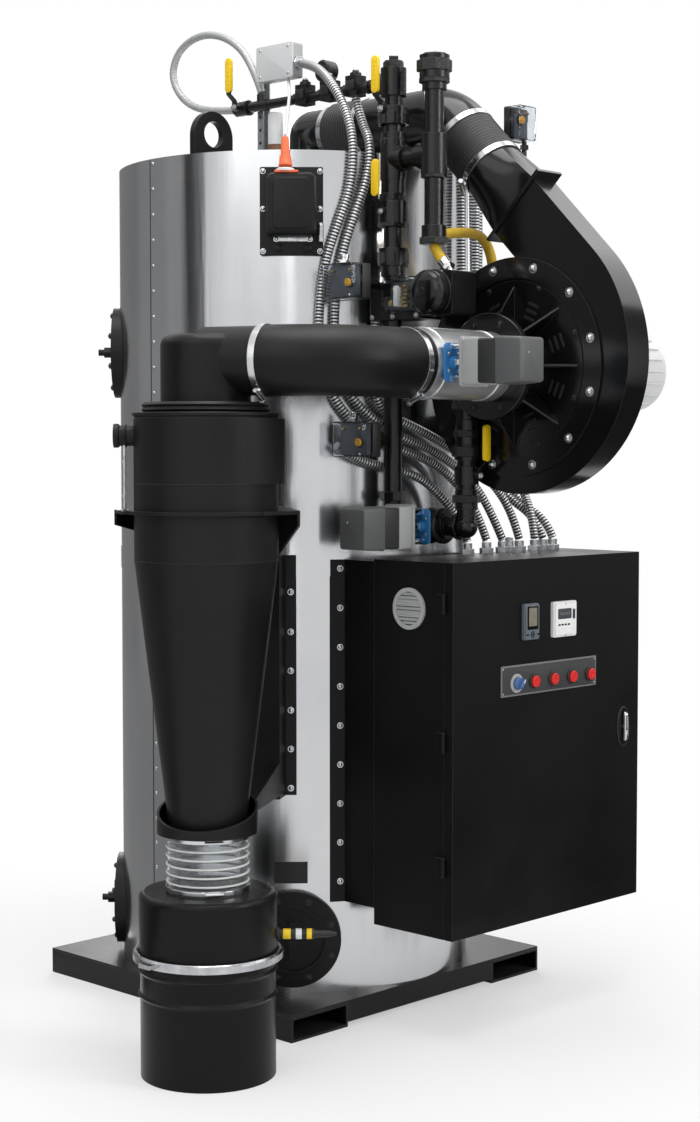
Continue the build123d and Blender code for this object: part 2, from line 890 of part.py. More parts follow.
# Clear dust hose, drum with its hood, ring and level sensor
drum_axis = Axis((cyclone_x, cyclone_y, 0), (0, 0, 1))
clear_top = cone_bottom - cradle_t
wave_h = (clear_top - hood_top) / (2 * clear_waves + 1)
with BuildPart() as clear_hose:
    with BuildSketch(cyclone_axis):
        with BuildLine():
            outline = [(clear_r, hood_top)]
            for index in range(clear_waves):
                outline.append((clear_r, hood_top + (2 * index + 1) * wave_h))
                outline.append((clear_r - clear_wave, hood_top + (2 * index + 1.5) * wave_h))
                outline.append((clear_r, hood_top + (2 * index + 2) * wave_h))
            outline.append((clear_r, clear_top))
            inner = [(radius - clear_t, height) for radius, height in reversed(outline)]
            Polyline(*outline, *inner, close=True)
        make_face()
    revolve(axis=drum_axis)
write(clear_hose, "clear_hose")

with BuildPart() as drum_hood:
    with BuildSketch(Plane(origin=(cyclone_x, cyclone_y, drum_ring_z))):
        Circle(hood_r)
    extrude(amount=hood_top - drum_ring_z)
    fillet(drum_hood.edges().group_by(Axis.Z)[-1], radius=shoulder_r)
write(drum_hood, "drum_hood")

with BuildPart() as drum_ring:
    with BuildSketch(Plane(origin=(cyclone_x, cyclone_y, drum_ring_z - drum_ring_h / 2))):
        Circle(drum_ring_r)
        Circle(hood_r + curved_gap, mode=Mode.SUBTRACT)
    extrude(amount=drum_ring_h)
    chamfer(drum_ring.edges().group_by(Axis.Z)[-1], length=drum_ring_h / 4)
    with BuildSketch(Plane(origin=(cyclone_x - drum_ring_r, cyclone_y, drum_ring_z - drum_ring_h / 4))):
        Rectangle(2 * drum_ring_h, 2 * drum_ring_h)
    extrude(amount=drum_ring_h / 2)
    with BuildSketch(Plane(origin=(cyclone_x, cyclone_y, drum_ring_z - drum_ring_h))):
        Circle(hood_r + curved_gap)
    extrude(amount=3 * drum_ring_h, mode=Mode.SUBTRACT)
write(drum_ring, "drum_ring")

with BuildPart() as drum:
    with BuildSketch(Plane(origin=(cyclone_x, cyclone_y, 0))):
        Circle(drum_r)
    extrude(amount=drum_ring_z)
    for height in (rib_low_z, rib_high_z):
        with BuildSketch(cyclone_axis):
            with BuildLine():
                Polyline(
                    (drum_r, height - rib_h / 2),
                    (drum_r + drum_rib, height),
                    (drum_r, height + rib_h / 2),
                    (drum_r - drum_rib, height),
                    close=True,
                )
            make_face()
        revolve(axis=drum_axis)
write(drum, "drum")

sensor_turn = math.radians(sensor_angle)
sensor_dir = (math.cos(sensor_turn), math.sin(sensor_turn), 0)
sensor_plane = Plane(origin=(cyclone_x, cyclone_y, sensor_z), z_dir=sensor_dir)
with BuildPart() as level_sensor:
    with BuildSketch(sensor_plane.offset(hood_r - bead_h)):
        Circle(sensor_r)
    extrude(amount=sensor_l)
    with BuildSketch(sensor_plane.offset(hood_r)):
        RegularPolygon(1.5 * sensor_r, 6)
    extrude(amount=2 * sensor_r)
    with BuildSketch(Plane(origin=(cyclone_x, cyclone_y, drum_ring_z))):
        Circle(hood_r + curved_gap)
    extrude(amount=hood_top - drum_ring_z, mode=Mode.SUBTRACT)
write(level_sensor, "level_sensor")

# Intake hose from the cyclone's cap to the damper
with BuildPart() as intake_hose:
    with BuildLine() as hose_route:
        FilletPolyline(
            spout_start,
            (hose_corner_x, fan_y, fan_z),
            (hose_end_x - curved_gap, fan_y, fan_z),
            radius=hose_bend_r,
        )
    with BuildSketch(Plane(origin=spout_start, z_dir=spout_dir)):
        Circle(hose_r)
    sweep(path=hose_route.wires()[0])
write(intake_hose, "intake_hose")

with BuildPart() as hose_clamps:
    with BuildSketch(Plane(origin=spout_start, z_dir=spout_dir).offset(clamp_t)):
        Circle(hose_r + clamp_t + curved_gap)
        Circle(hose_r + curved_gap, mode=Mode.SUBTRACT)
    extrude(amount=clamp_w)
    with BuildSketch(Plane.YZ.offset(hose_end_x - 2 * clamp_w)):
        with Locations((fan_y, fan_z)):
            Circle(hose_r + clamp_t + curved_gap)
            Circle(hose_r + curved_gap, mode=Mode.SUBTRACT)
    extrude(amount=clamp_w)

# Damper duct with its flange, and the actuator that turns its shaft
damper_end_x = inlet_end_x - inlet_flange_t
with BuildPart() as damper_duct:
    with BuildSketch(Plane.YZ.offset(hose_end_x)):
        with Locations((fan_y, fan_z)):
            Circle(damper_r)
    extrude(amount=inlet_end_x - hose_end_x)
    with BuildSketch(Plane.YZ.offset(damper_end_x)):
        with Locations((fan_y, fan_z)):
            Circle(inlet_flange_r)
    extrude(amount=inlet_flange_t)
write(damper_duct, "damper_duct")

damper_base = Plane(origin=(shaft_x, fan_y, fan_z), x_dir=(1, 0, 0), z_dir=(0, -1, 0))
with BuildPart() as damper_actuator:
    for side in (-1, 1):
        with BuildSketch(damper_base.offset(0.8 * damper_r)):
            with Locations((side * (actuator_w / 2 - yoke_post_r), 0)):
                Rectangle(2 * yoke_post_r, 5 * yoke_post_r)
        extrude(amount=0.2 * damper_r + yoke_gap + yoke_plate_t)
    with BuildSketch(damper_base.offset(0.8 * damper_r)):
        Circle(1.5 * yoke_post_r)
    extrude(amount=0.2 * damper_r + yoke_gap + yoke_plate_t)
    with BuildSketch(damper_base.offset(damper_r + yoke_gap)):
        Rectangle(actuator_w, 0.6 * actuator_w)
    extrude(amount=yoke_plate_t)
    with BuildSketch(damper_base.offset(damper_r + yoke_gap + yoke_plate_t)):
        Rectangle(actuator_w, actuator_h)
    extrude(amount=actuator_l - actuator_cap)
    with BuildSketch(damper_base.offset(damper_r + yoke_gap + yoke_plate_t + actuator_l - actuator_cap)):
        Rectangle(actuator_w, actuator_h)
    extrude(amount=actuator_cap, taper=8)
    with BuildSketch(Plane.YZ.offset(hose_end_x - clamp_w)):
        with Locations((fan_y, fan_z)):
            Circle(damper_r + curved_gap)
    extrude(amount=damper_end_x - hose_end_x, mode=Mode.SUBTRACT)
write(damper_actuator, "damper_actuator")

# Fan volute drawn with four centres, its spiral growing one step per quarter
fan_plane = Plane(origin=(fan_x + fan_w, fan_y, fan_z), x_dir=(0, -1, 0), z_dir=(-1, 0, 0))
half_step = volute_step / 2
tongue_cos = (outlet_inner + half_step * math.sqrt(2)) / volute_r
tongue_angle = 45 + math.degrees(math.acos(tongue_cos))
half = math.sqrt(0.5)


# A point of the outlet on the volute's own sketch
def volute_point(along, across):
    return (half * (across - along), half * (across + along))


with BuildPart() as fan_scroll:
    with BuildSketch(fan_plane):
        with BuildLine():
            first = CenterArc((-half_step, -half_step), volute_r, tongue_angle, 180 - tongue_angle)
            CenterArc((half_step, -half_step), volute_r + volute_step, 180, 90)
            CenterArc((half_step, half_step), volute_r + 2 * volute_step, 270, 90)
            last = CenterArc((-half_step, half_step), volute_r + 3 * volute_step, 0, 45)
            Polyline(
                last @ 1,
                volute_point(outlet_end, outlet_outer),
                volute_point(outlet_end, outlet_inner),
                first @ 0,
            )
        make_face()
    extrude(amount=fan_w)
write(fan_scroll, "fan_scroll")

# Outlet: angle rim, square-to-round transition, ribbed sleeve and duct
rim_start = outlet_plane(outlet_end)
with BuildPart() as fan_outlet:
    with BuildSketch(rim_start):
        Rectangle(fan_w + rim_lip / 2, outlet_w + 2 * rim_lip)
    extrude(amount=mouth_rim_t)
    with BuildSketch(rim_start.offset(mouth_rim_t)):
        Rectangle(fan_w, outlet_w)
    with BuildSketch(rim_start.offset(transition_l)):
        Circle(duct_r)
    loft()
write(fan_outlet, "fan_outlet")

sleeve_start = rim_start.offset(transition_l)
with BuildPart() as ribbed_sleeve:
    with BuildSketch(sleeve_start):
        Circle(duct_r + clamp_t)
    extrude(amount=sleeve_l)

# Duct over the top: elbow, straight, flexible joint and the burner's bend
elbow_start = outlet_plane(outlet_end + transition_l + sleeve_l)
corner_rise = duct_z - elbow_start.origin.Z
corner_y = elbow_start.origin.Y + corner_rise
with BuildPart() as top_duct:
    with BuildLine() as duct_route:
        FilletPolyline(
            elbow_start.origin,
            (fan_plane_x, corner_y, duct_z),
            (fan_plane_x, flex_start_y, duct_z),
            radius=elbow_r,
        )
    with BuildSketch(elbow_start):
        Circle(duct_r)
    sweep(path=duct_route.wires()[0])
write(top_duct, "top_duct")

with BuildPart() as flexible_joint:
    with BuildSketch(Plane.XZ.offset(-flex_start_y)):
        with Locations((fan_plane_x, duct_z)):
            Circle(duct_r)
    with BuildSketch(Plane.XZ.offset(-flex_end_y)):
        with Locations((fan_plane_x, duct_z)):
            Circle(burner_duct_r + clamp_t)
    loft()
gather((ribbed_sleeve, flexible_joint), "rubber_sleeves")

with BuildPart() as duct_clamps:
    for plane in (sleeve_start.offset(clamp_t), sleeve_start.offset(sleeve_l - clamp_w - clamp_t)):
        with BuildSketch(plane):
            Circle(duct_r + 2 * clamp_t + curved_gap)
            Circle(duct_r + clamp_t + curved_gap, mode=Mode.SUBTRACT)
        extrude(amount=clamp_w)
    flex_end_r = burner_duct_r + clamp_t + 2 * curved_gap
    for start_y, inner_r in ((flex_start_y, duct_r), (flex_end_y - clamp_w, flex_end_r)):
        with BuildSketch(Plane.XZ.offset(-start_y - clamp_w)):
            with Locations((fan_plane_x, duct_z)):
                Circle(inner_r + clamp_t + curved_gap)
                Circle(inner_r + curved_gap, mode=Mode.SUBTRACT)
        extrude(amount=clamp_w)
gather((hose_clamps, duct_clamps), "band_clamps")

with BuildPart() as burner_elbow:
    with BuildSketch(Plane.XZ.offset(-burner_y)):
        with Locations((fan_plane_x, duct_z)):
            Circle(burner_duct_r)
    extrude(amount=burner_y - flex_end_y)
    with Locations((fan_plane_x, burner_y, duct_z)):
        Sphere(burner_duct_r)
    with BuildSketch(Plane.XY.offset(jacket_top)):
        with Locations((fan_plane_x, burner_y)):
            Circle(burner_duct_r)
    extrude(amount=duct_z - jacket_top)
    with BuildSketch(Plane.XY.offset(jacket_top)):
        with Locations((fan_plane_x, burner_y)):
            Circle(burner_flange_r)
    extrude(amount=burner_flange_t)
write(burner_elbow, "burner_elbow")

# Fan inlet: bolted ring, recessed disc, spigot with its flange and fins
with BuildPart() as fan_inlet:
    with BuildSketch(Plane.YZ.offset(fan_x - inlet_disc_t)):
        with Locations((fan_y, fan_z)):
            Circle(inlet_disc_r)
    extrude(amount=inlet_disc_t)
    with BuildSketch(Plane.YZ.offset(inlet_end_x)):
        with Locations((fan_y, fan_z)):
            Circle(inlet_tube_r)
    extrude(amount=fan_x - inlet_end_x)
    with BuildSketch(Plane.YZ.offset(inlet_end_x)):
        with Locations((fan_y, fan_z)):
            Circle(inlet_flange_r)
    extrude(amount=inlet_flange_t)
    for angle in range(45, 315, 45):
        turn = math.radians(angle)
        radial = Vector(0, math.cos(turn), math.sin(turn))
        fin_plane = Plane(
            origin=(0, fan_y, fan_z),
            x_dir=(-1, 0, 0),
            z_dir=Vector(-1, 0, 0).cross(radial),
        )
        with BuildSketch(fin_plane):
            with BuildLine():
                Polyline(
                    (-fan_x + inlet_disc_t, inlet_tube_r - fin_t),
                    (-fan_x + inlet_disc_t, fin_r),
                    (-inlet_end_x - inlet_flange_t, inlet_tube_r + fin_t),
                    (-inlet_end_x - inlet_flange_t, inlet_tube_r - fin_t),
                    close=True,
                )
            make_face()
        extrude(amount=fin_t / 2, both=True)

with BuildPart() as inlet_ring:
    with BuildSketch(Plane.YZ.offset(fan_x - inlet_ring_t)):
        with Locations((fan_y, fan_z)):
            Circle(inlet_ring_r)
            Circle(inlet_ring_in, mode=Mode.SUBTRACT)
    extrude(amount=inlet_ring_t)
gather((fan_inlet, inlet_ring), "fan_inlet")

# Motor on the far side, its adapter and the bracket that carries the fan
with BuildPart() as fan_motor:
    with BuildSketch(Plane.YZ.offset(fan_x + fan_w)):
        with Locations((fan_y, fan_z)):
            Circle(motor_plate_r)
    extrude(amount=motor_plate_t)
    with BuildSketch(Plane.YZ.offset(fan_x + fan_w + motor_plate_t)):
        with Locations((fan_y, fan_z)):
            Circle(motor_r)
    extrude(amount=motor_end - fan_x - fan_w - motor_plate_t)
    chamfer(fan_motor.edges().group_by(Axis.X)[-1], length=motor_plate_t / 2)
    with BuildSketch(Plane.XY.offset(fan_z)):
        with Locations((motor_box_x, fan_y)):
            Rectangle(motor_box_w, motor_box_w)
    extrude(amount=motor_r + motor_box_h)
    with BuildSketch(Plane.XY.offset(bracket_top_z)):
        with Locations((fan_foot_x, fan_y)):
            Rectangle(fan_foot_l, 1.6 * motor_r)
    extrude(amount=fan_z - bracket_top_z)
write(fan_motor, "fan_motor")

with BuildPart() as fan_bracket:
    with BuildSketch(Plane.XY.offset(bracket_top_z - fan_plate_t)):
        with Locations((fan_foot_x, (fan_bracket_front + jacket_r / -4) / 2)):
            Rectangle(fan_bracket_w, -fan_bracket_front - jacket_r / 4)
        Circle(jacket_r + curved_gap, mode=Mode.SUBTRACT)
    extrude(amount=fan_plate_t)
    for side in (-1, 1):
        with BuildSketch(Plane.YZ.offset(fan_foot_x + side * (fan_bracket_w / 2 - fan_plate_t))):
            with BuildLine():
                Polyline(
                    (jacket_r / -4, bracket_top_z - fan_plate_t),
                    (fan_bracket_front + motor_r, bracket_top_z - fan_plate_t),
                    (-jacket_r, bracket_top_z - fan_gusset_h),
                    (jacket_r / -4, bracket_top_z - fan_gusset_h),
                    close=True,
                )
            make_face()
        extrude(amount=-side * fan_plate_t)
    with BuildSketch(Plane.XY.offset(bracket_top_z - fan_gusset_h)):
        Circle(jacket_r + curved_gap)
    extrude(amount=fan_gusset_h, mode=Mode.SUBTRACT)
write(fan_bracket, "fan_bracket")


# Straight runs of pipe with round elbow fittings at their corners
def hard_pipe(points, radius, elbow):
    corners = [Vector(*point) for point in points]
    with BuildPart() as run:
        for start, end in zip(corners, corners[1:]):
            with BuildSketch(Plane(origin=start, z_dir=end - start)):
                Circle(radius)
            extrude(amount=(end - start).length)
        for corner in corners[1:-1]:
            with Locations(corner):
                Sphere(elbow)
    return run


# Gas riser, from the valve train up to the pilot line's tee
with BuildPart() as gas_riser:
    with BuildSketch(Plane((riser_x, riser_y, train_top))):
        Circle(pipe_r)
    extrude(amount=riser_top - train_top)
    for centre, height, radius in (
        (pilot_z, pilot_tee_h, tee_r),
        (riser_union_z, low_union_h, union_r),
        (riser_bush_z, riser_bush_h, coupling_r),
        (cross_z, cross_tee_h, tee_r),
        (riser_coupling_z, riser_coupling_h, coupling_r),
        (main_valve_z, main_valve_h, union_r),
        (low_union_z, low_union_h, union_r),
        (low_sleeve_z, low_sleeve_h, coupling_r),
    ):
        with BuildSketch(Plane((riser_x, riser_y, centre - height / 2))):
            Circle(radius)
        extrude(amount=height)
    with BuildSketch(Plane(origin=(riser_x, riser_y, cross_z), z_dir=(0, -1, 0))):
        Circle(tee_r - running_gap)
    extrude(amount=tee_reach)
    with BuildSketch(Plane(origin=(riser_x, riser_y, pilot_z), z_dir=(0, 1, 0))):
        Circle(tee_r - bead_out)
    extrude(amount=tee_reach)
    with BuildSketch(Plane(origin=(riser_x, riser_y, main_valve_z), z_dir=(-1, 0, 0))):
        Circle(2 * stem_r)
    extrude(amount=union_r + stem_r)
    with BuildSketch(Plane(origin=(riser_x, riser_y, pilot_z - pilot_tee_h), z_dir=(-1, 0, 0))):
        Circle(2 * stem_r)
    extrude(amount=union_r + stem_r)
write(gas_riser, "gas_riser")

# Gas supply column in front of the riser, joined to it by a nipple
with BuildPart() as gas_supply:
    with BuildSketch(Plane((riser_x, supply_y, supply_cap_z))):
        Circle(pipe_r)
    extrude(amount=supply_union_z - supply_cap_z)
    for centre, height, radius in (
        (supply_union_z, supply_top - supply_neck_z - supply_neck_h / 2, union_r),
        (supply_neck_z, supply_neck_h, coupling_r),
        (cross_z, cross_tee_h, tee_r),
        (supply_cap_z, supply_cap_h, coupling_r),
    ):
        with BuildSketch(Plane((riser_x, supply_y, centre - height / 2))):
            Circle(radius)
        extrude(amount=height)
    with BuildSketch(Plane((riser_x, supply_y, supply_union_z))):
        Circle(pipe_r - bead_out)
    extrude(amount=supply_top - supply_union_z, mode=Mode.SUBTRACT)
    with BuildSketch(Plane(origin=(riser_x, supply_y, cross_z), z_dir=(0, 1, 0))):
        Circle(tee_r - running_gap)
    extrude(amount=tee_reach)
    with BuildSketch(Plane(origin=(riser_x, supply_y, cross_z), z_dir=(0, 1, 0))):
        Circle(pipe_r)
    extrude(amount=riser_y - tee_reach - supply_y)
write(gas_supply, "gas_supply")

# Valve train under the riser, its regulator and the pipe down from it
train_y = (train_front + train_back) / 2
train_z = train_top - train_h / 2
with BuildPart() as gas_valve_train:
    with BuildSketch(Plane.XY.offset(train_top - train_h)):
        with Locations((riser_x, train_y)):
            RectangleRounded(train_w, train_back - train_front, switch_corner)
    extrude(amount=train_h)
    chamfer(gas_valve_train.edges().group_by(Axis.Z)[-1], length=bead_out)
    with BuildSketch(Plane.XY.offset(train_top - bead_out)):
        with Locations((riser_x, train_y - tee_reach)):
            Circle(union_r - 2 * bead_out)
    extrude(amount=bead_out + bead_h)
    with BuildSketch(Plane((riser_x, riser_y, train_top - bead_out))):
        Circle(union_r + curved_gap)
    extrude(amount=tee_reach, mode=Mode.SUBTRACT)
    with BuildSketch(Plane((riser_x, riser_y, train_top - bead_out))):
        Circle(union_r)
    extrude(amount=bead_out)
write(gas_valve_train, "gas_valve_train")

regulator_y = train_front - regulator_h / 2
with BuildPart() as gas_regulator:
    with BuildSketch(Plane.YZ.offset(riser_x - train_w / 2)):
        with Locations((regulator_y, regulator_z)):
            RectangleRounded(regulator_h, regulator_h, switch_corner)
    extrude(amount=train_w)
    with BuildSketch(Plane.YZ.offset(riser_x - train_w / 2)):
        with Locations((regulator_y, regulator_z)):
            Circle(dome_r)
    extrude(amount=-dome_l)
    fillet(gas_regulator.edges().group_by(Axis.X)[0], radius=dome_l / 3)
    with BuildSketch(Plane((riser_x, vent_fitting_y, regulator_z + regulator_h / 2))):
        RegularPolygon(yellow_r, 6)
    extrude(amount=bead_h)
write(gas_regulator, "gas_regulator")

downpipe_points = (
    (riser_x, riser_y, train_top - train_h),
    (riser_x, riser_y, downpipe_z),
    (loop_x, riser_y, downpipe_z),
    (loop_x, gas_valve_y + gas_valve_l / 2, downpipe_z),
)
gas_downpipe = hard_pipe(downpipe_points, pipe_r, down_elbow_r)

# Gas butterfly valve and the pipe that rises from it into the fan's spigot
with BuildPart() as gas_butterfly:
    with BuildSketch(Plane.XZ.offset(-gas_valve_y)):
        with Locations((loop_x, downpipe_z)):
            Circle(gas_valve_r)
    extrude(amount=gas_valve_l / 2, both=True)
    with BuildSketch(Plane.YZ.offset(loop_x)):
        with Locations((gas_valve_y, downpipe_z)):
            Rectangle(gas_valve_l, 1.2 * gas_valve_r)
    extrude(amount=-gas_valve_r - bead_h)

stub_end_y = fan_y + inlet_tube_r + curved_gap
loop_run = hard_pipe(
    (
        (loop_x, gas_valve_y - gas_valve_l / 2, downpipe_z),
        (loop_x, loop_y, downpipe_z),
        (loop_x, loop_y, fan_z),
        (loop_x, stub_end_y, fan_z),
    ),
    pipe_r,
    loop_elbow_r,
)
with BuildPart() as gas_loop:
    add(loop_run.part)
    for centre, height, radius in (
        (downpipe_z + loop_union_rise, loop_union_h, loop_elbow_r),
        (loop_valve_z, loop_valve_h, coupling_r),
        (downpipe_z + loop_nut_rise, loop_nut_h, coupling_r),
        (downpipe_z + loop_sleeve_rise, loop_sleeve_h, loop_elbow_r),
        (downpipe_z + loop_top_nut_rise, loop_nut_h, coupling_r),
    ):
        with BuildSketch(Plane((loop_x, loop_y, centre - height / 2))):
            Circle(radius)
        extrude(amount=height)
    with BuildSketch(Plane(origin=(loop_x, loop_y, loop_valve_z), z_dir=(0, -1, 0))):
        Circle(2 * stem_r)
    extrude(amount=union_r + stem_r)
    with BuildSketch(Plane(origin=(loop_x, gas_valve_y - gas_valve_l / 2, downpipe_z), z_dir=(0, -1, 0))):
        Circle(tee_r)
    extrude(amount=tee_reach / 4)
    with BuildSketch(Plane(origin=(inlet_end_x, fan_y, fan_z), z_dir=(1, 0, 0))):
        Circle(inlet_tube_r + curved_gap)
    extrude(amount=fan_x - inlet_end_x, mode=Mode.SUBTRACT)
gather((gas_downpipe, gas_loop), "gas_loop")

valve_base = Plane(
    origin=(loop_x - gas_valve_r - bead_h, gas_valve_y, downpipe_z),
    x_dir=(0, 1, 0),
    z_dir=(-1, 0, 0),
)
with BuildPart() as gas_actuator:
    with BuildSketch(valve_base):
        Circle(1.5 * yoke_post_r)
        with GridLocations(gas_valve_l - 2 * yoke_post_r, 0, 2, 1):
            Rectangle(2 * yoke_post_r, 4 * yoke_post_r)
    extrude(amount=gas_yoke_gap)
    for lift in (0, gas_yoke_gap - yoke_plate_t):
        with BuildSketch(valve_base.offset(lift)):
            Rectangle(gas_valve_l, gas_valve_l)
        extrude(amount=yoke_plate_t)
    body = valve_base.offset(gas_yoke_gap)
    with BuildSketch(body):
        Rectangle(actuator_w, actuator_h)
    extrude(amount=actuator_l - actuator_cap)
    with BuildSketch(body.offset(actuator_l - actuator_cap)):
        Rectangle(actuator_w, actuator_h)
    extrude(amount=actuator_cap, taper=8)
gather((gas_butterfly, gas_actuator), "gas_actuator")

# Pilot line from the riser's tee over the boiler, with its solenoids
pilot_start_y = riser_y + tee_reach
with BuildPart() as pilot_line:
    with BuildSketch(Plane(origin=(riser_x, pilot_start_y, pilot_z), z_dir=(0, 1, 0))):
        Circle(pilot_r)
    extrude(amount=pilot_end_y - pilot_start_y)
    with BuildSketch(Plane(origin=(riser_x, pilot_valve_y - pilot_valve_l / 2, pilot_z), z_dir=(0, 1, 0))):
        Circle(1.6 * pilot_r)
    extrude(amount=pilot_valve_l)
    with BuildSketch(Plane(origin=(riser_x, pilot_valve_y, pilot_z), z_dir=(-1, 0, 0))):
        Circle(1.5 * stem_r)
    extrude(amount=2 * pilot_r + stem_r)
    with BuildSketch(Plane(origin=(riser_x, pilot_tee_y, pilot_z))):
        Circle(pilot_r)
    extrude(amount=pilot_tee_top - pilot_z)
    with BuildSketch(Plane(origin=(riser_x, pilot_tee_y - 2 * pilot_r, pilot_z), z_dir=(0, 1, 0))):
        Circle(1.15 * pilot_r)
    extrude(amount=4 * pilot_r)

with BuildPart() as pilot_solenoids:
    for index in range(solenoid_count):
        place_y = solenoid_first_y - index * solenoid_pitch
        with BuildSketch(Plane.XY.offset(pilot_z - solenoid_w / 2)):
            with Locations((riser_x, place_y)):
                Rectangle(solenoid_w, solenoid_w)
        extrude(amount=solenoid_h)
gather((pilot_line, pilot_solenoids), "pilot_line")

# Quarter-turn levers: three on stems along -X and one on a stem along -Y
levers = (
    ("riser_top_lever", Vector(riser_x - union_r, riser_y, pilot_z - pilot_tee_h), Vector(-1, 0, 0)),
    ("main_gas_lever", Vector(riser_x - union_r, riser_y, main_valve_z), Vector(-1, 0, 0)),
    ("pilot_gas_lever", Vector(riser_x - 2 * pilot_r, pilot_valve_y, pilot_z), Vector(-1, 0, 0)),
    ("loop_gas_lever", Vector(loop_x, loop_y - union_r, loop_valve_z), Vector(0, -1, 0)),
)
for name, hub, outward in levers:
    hub_plane = Plane(origin=hub, x_dir=outward.cross(Vector(0, 0, -1)), z_dir=outward)
    with BuildPart() as lever:
        with BuildSketch(hub_plane.offset(stem_r + curved_gap)):
            Circle(1.6 * stem_r)
        extrude(amount=lever_t)
        crank_plane = Plane(origin=hub, x_dir=outward, z_dir=outward.cross(Vector(0, 0, 1)))
        with BuildSketch(crank_plane):
            with BuildLine():
                Polyline(
                    (stem_r + curved_gap, 0),
                    (stem_r + curved_gap, lever_w),
                    (lever_offset - lever_t, lever_w + lever_offset / 2),
                    (lever_offset - lever_t, lever_l),
                    (lever_offset, lever_l),
                    (lever_offset, lever_w + lever_offset / 2),
                    (stem_r + curved_gap + lever_t, lever_w - lever_t / 2),
                    (stem_r + curved_gap + lever_t, 0),
                    close=True,
                )
            make_face()
        extrude(amount=lever_w / 2, both=True)
        with BuildSketch(hub_plane.offset(lever_offset - lever_t)):
            with Locations((0, lever_l)):
                Circle(lever_w / 2)
        extrude(amount=lever_t)
    write(lever, name)

# Gas pressure switches, each with its nipple
switch_places = (
    ("high_gas_switch", Vector(-316, -560, 1886), Vector(0, 1, 0), Vector(-1, 0, 0)),
    ("low_gas_switch", Vector(-302, -582, 1496), Vector(0, 1, 0), Vector(-1, 0, 0)),
    ("air_switch", Vector(138, -716, 2304), Vector(0, 1, 0), Vector(-1, 0, 0)),
)
switches = []
for name, front, depth_dir, side_dir in switch_places:
    front_plane = Plane(origin=front, x_dir=side_dir, z_dir=depth_dir)
    deep = switch_l if name != "air_switch" else switch_l / 2
    with BuildPart() as pressure_switch:
        with BuildSketch(front_plane):
            RectangleRounded(switch_w, switch_h, switch_corner)
        extrude(amount=deep)
        if name == "high_gas_switch":
            nipple = Plane(origin=front + depth_dir * (deep / 2) + Vector(switch_w / 2, 0, 0), z_dir=(1, 0, 0))
            with BuildSketch(nipple):
                Circle(pilot_r)
            extrude(amount=riser_x - train_w / 2 - front.X - switch_w / 2)
        if name == "low_gas_switch":
            nipple = Plane(origin=Vector(front.X + switch_w / 2, riser_y, front.Z), z_dir=(1, 0, 0))
            with BuildSketch(nipple):
                Circle(pilot_r)
            extrude(amount=riser_x - front.X - switch_w / 2)
            with BuildSketch(Plane((riser_x, riser_y, downpipe_z))):
                Circle(pipe_r + curved_gap)
            extrude(amount=train_top - downpipe_z, mode=Mode.SUBTRACT)
        if name == "air_switch":
            stem_plane = Plane(origin=front + Vector(-switch_w / 4, deep / 2, -switch_h / 2), z_dir=(0, 0, -1))
            with BuildSketch(stem_plane):
                Circle(pilot_r / 2)
            extrude(amount=3 * pilot_r)
            with BuildSketch(Plane(origin=stem_plane.origin - Vector(0, 0, 2.4 * pilot_r), z_dir=(-1, 0, 0))):
                Circle(pilot_r / 2)
            extrude(amount=switch_w / 2)
            with BuildSketch(sleeve_start.offset(-clamp_t * 2)):
                Circle(duct_r + clamp_t + curved_gap)
            extrude(amount=sleeve_l, mode=Mode.SUBTRACT)
    switches.append(pressure_switch)

with BuildPart() as valve_switch:
    with BuildSketch(Plane.YZ.offset(riser_x - train_w / 2)):
        with Locations((train_front + switch_l / 2 - bead_out, train_z + bead_h)):
            RectangleRounded(switch_l - 2 * bead_out, switch_h - bead_out, switch_corner)
    extrude(amount=-switch_base - bead_h)
gather((*switches, valve_switch), "pressure_switches")

# Ignition box on the jacket, its rubber boot and lead
face = radial_plane(port_front_angle, jacket_r, ignition_z)
with BuildPart() as ignition_box:
    with BuildSketch(face.offset(ignition_plate_t)):
        Rectangle(ignition_w, ignition_h)
    extrude(amount=-jacket_r / 8)
    with BuildSketch(face.offset(ignition_plate_t)):
        with Locations((0, (ignition_h - ignition_cover_h) / 4)):
            RectangleRounded(ignition_cover_w, ignition_cover_h, 2 * switch_corner)
    extrude(amount=ignition_cover_t)
    cover_face = ignition_box.faces().filter_by(face).sort_by(SortBy.DISTANCE)[-1]
    fillet(cover_face.edges(), radius=switch_corner)
    with BuildSketch(Plane.XY.offset(ignition_z - ignition_h)):
        Circle(jacket_r + curved_gap)
    extrude(amount=2 * ignition_h, mode=Mode.SUBTRACT)
write(ignition_box, "ignition_box")

# Junction box on its strut over the boiler, and the white-topped sight pipe
with BuildPart() as top_strut:
    with BuildSketch(Plane.XY.offset(jacket_top)):
        with Locations((strut_x, strut_y)):
            Rectangle(strut_w, strut_d)
            with Locations((0, -strut_t)):
                Rectangle(strut_w - 2 * strut_t, strut_d, mode=Mode.SUBTRACT)
    extrude(amount=strut_top - jacket_top)
    with BuildSketch(Plane.XY.offset(jacket_top)):
        with Locations((strut_x, strut_y)):
            Rectangle(2 * strut_w, 2 * strut_d)
    extrude(amount=strut_t)
write(top_strut, "top_strut")

box_right = strut_x - strut_w / 2
with BuildPart() as junction_box:
    with BuildSketch(Plane.YZ.offset(box_right)):
        with Locations((junction_y, junction_z)):
            RectangleRounded(junction_w, junction_h, bead_out)
    extrude(amount=-junction_d)
    with BuildSketch(Plane.YZ.offset(box_right)):
        with Locations(((junction_y + strut_y) / 2, junction_z)):
            Rectangle(strut_y - junction_y + strut_d, strut_w)
    extrude(amount=-strut_t)
write(junction_box, "junction_box")

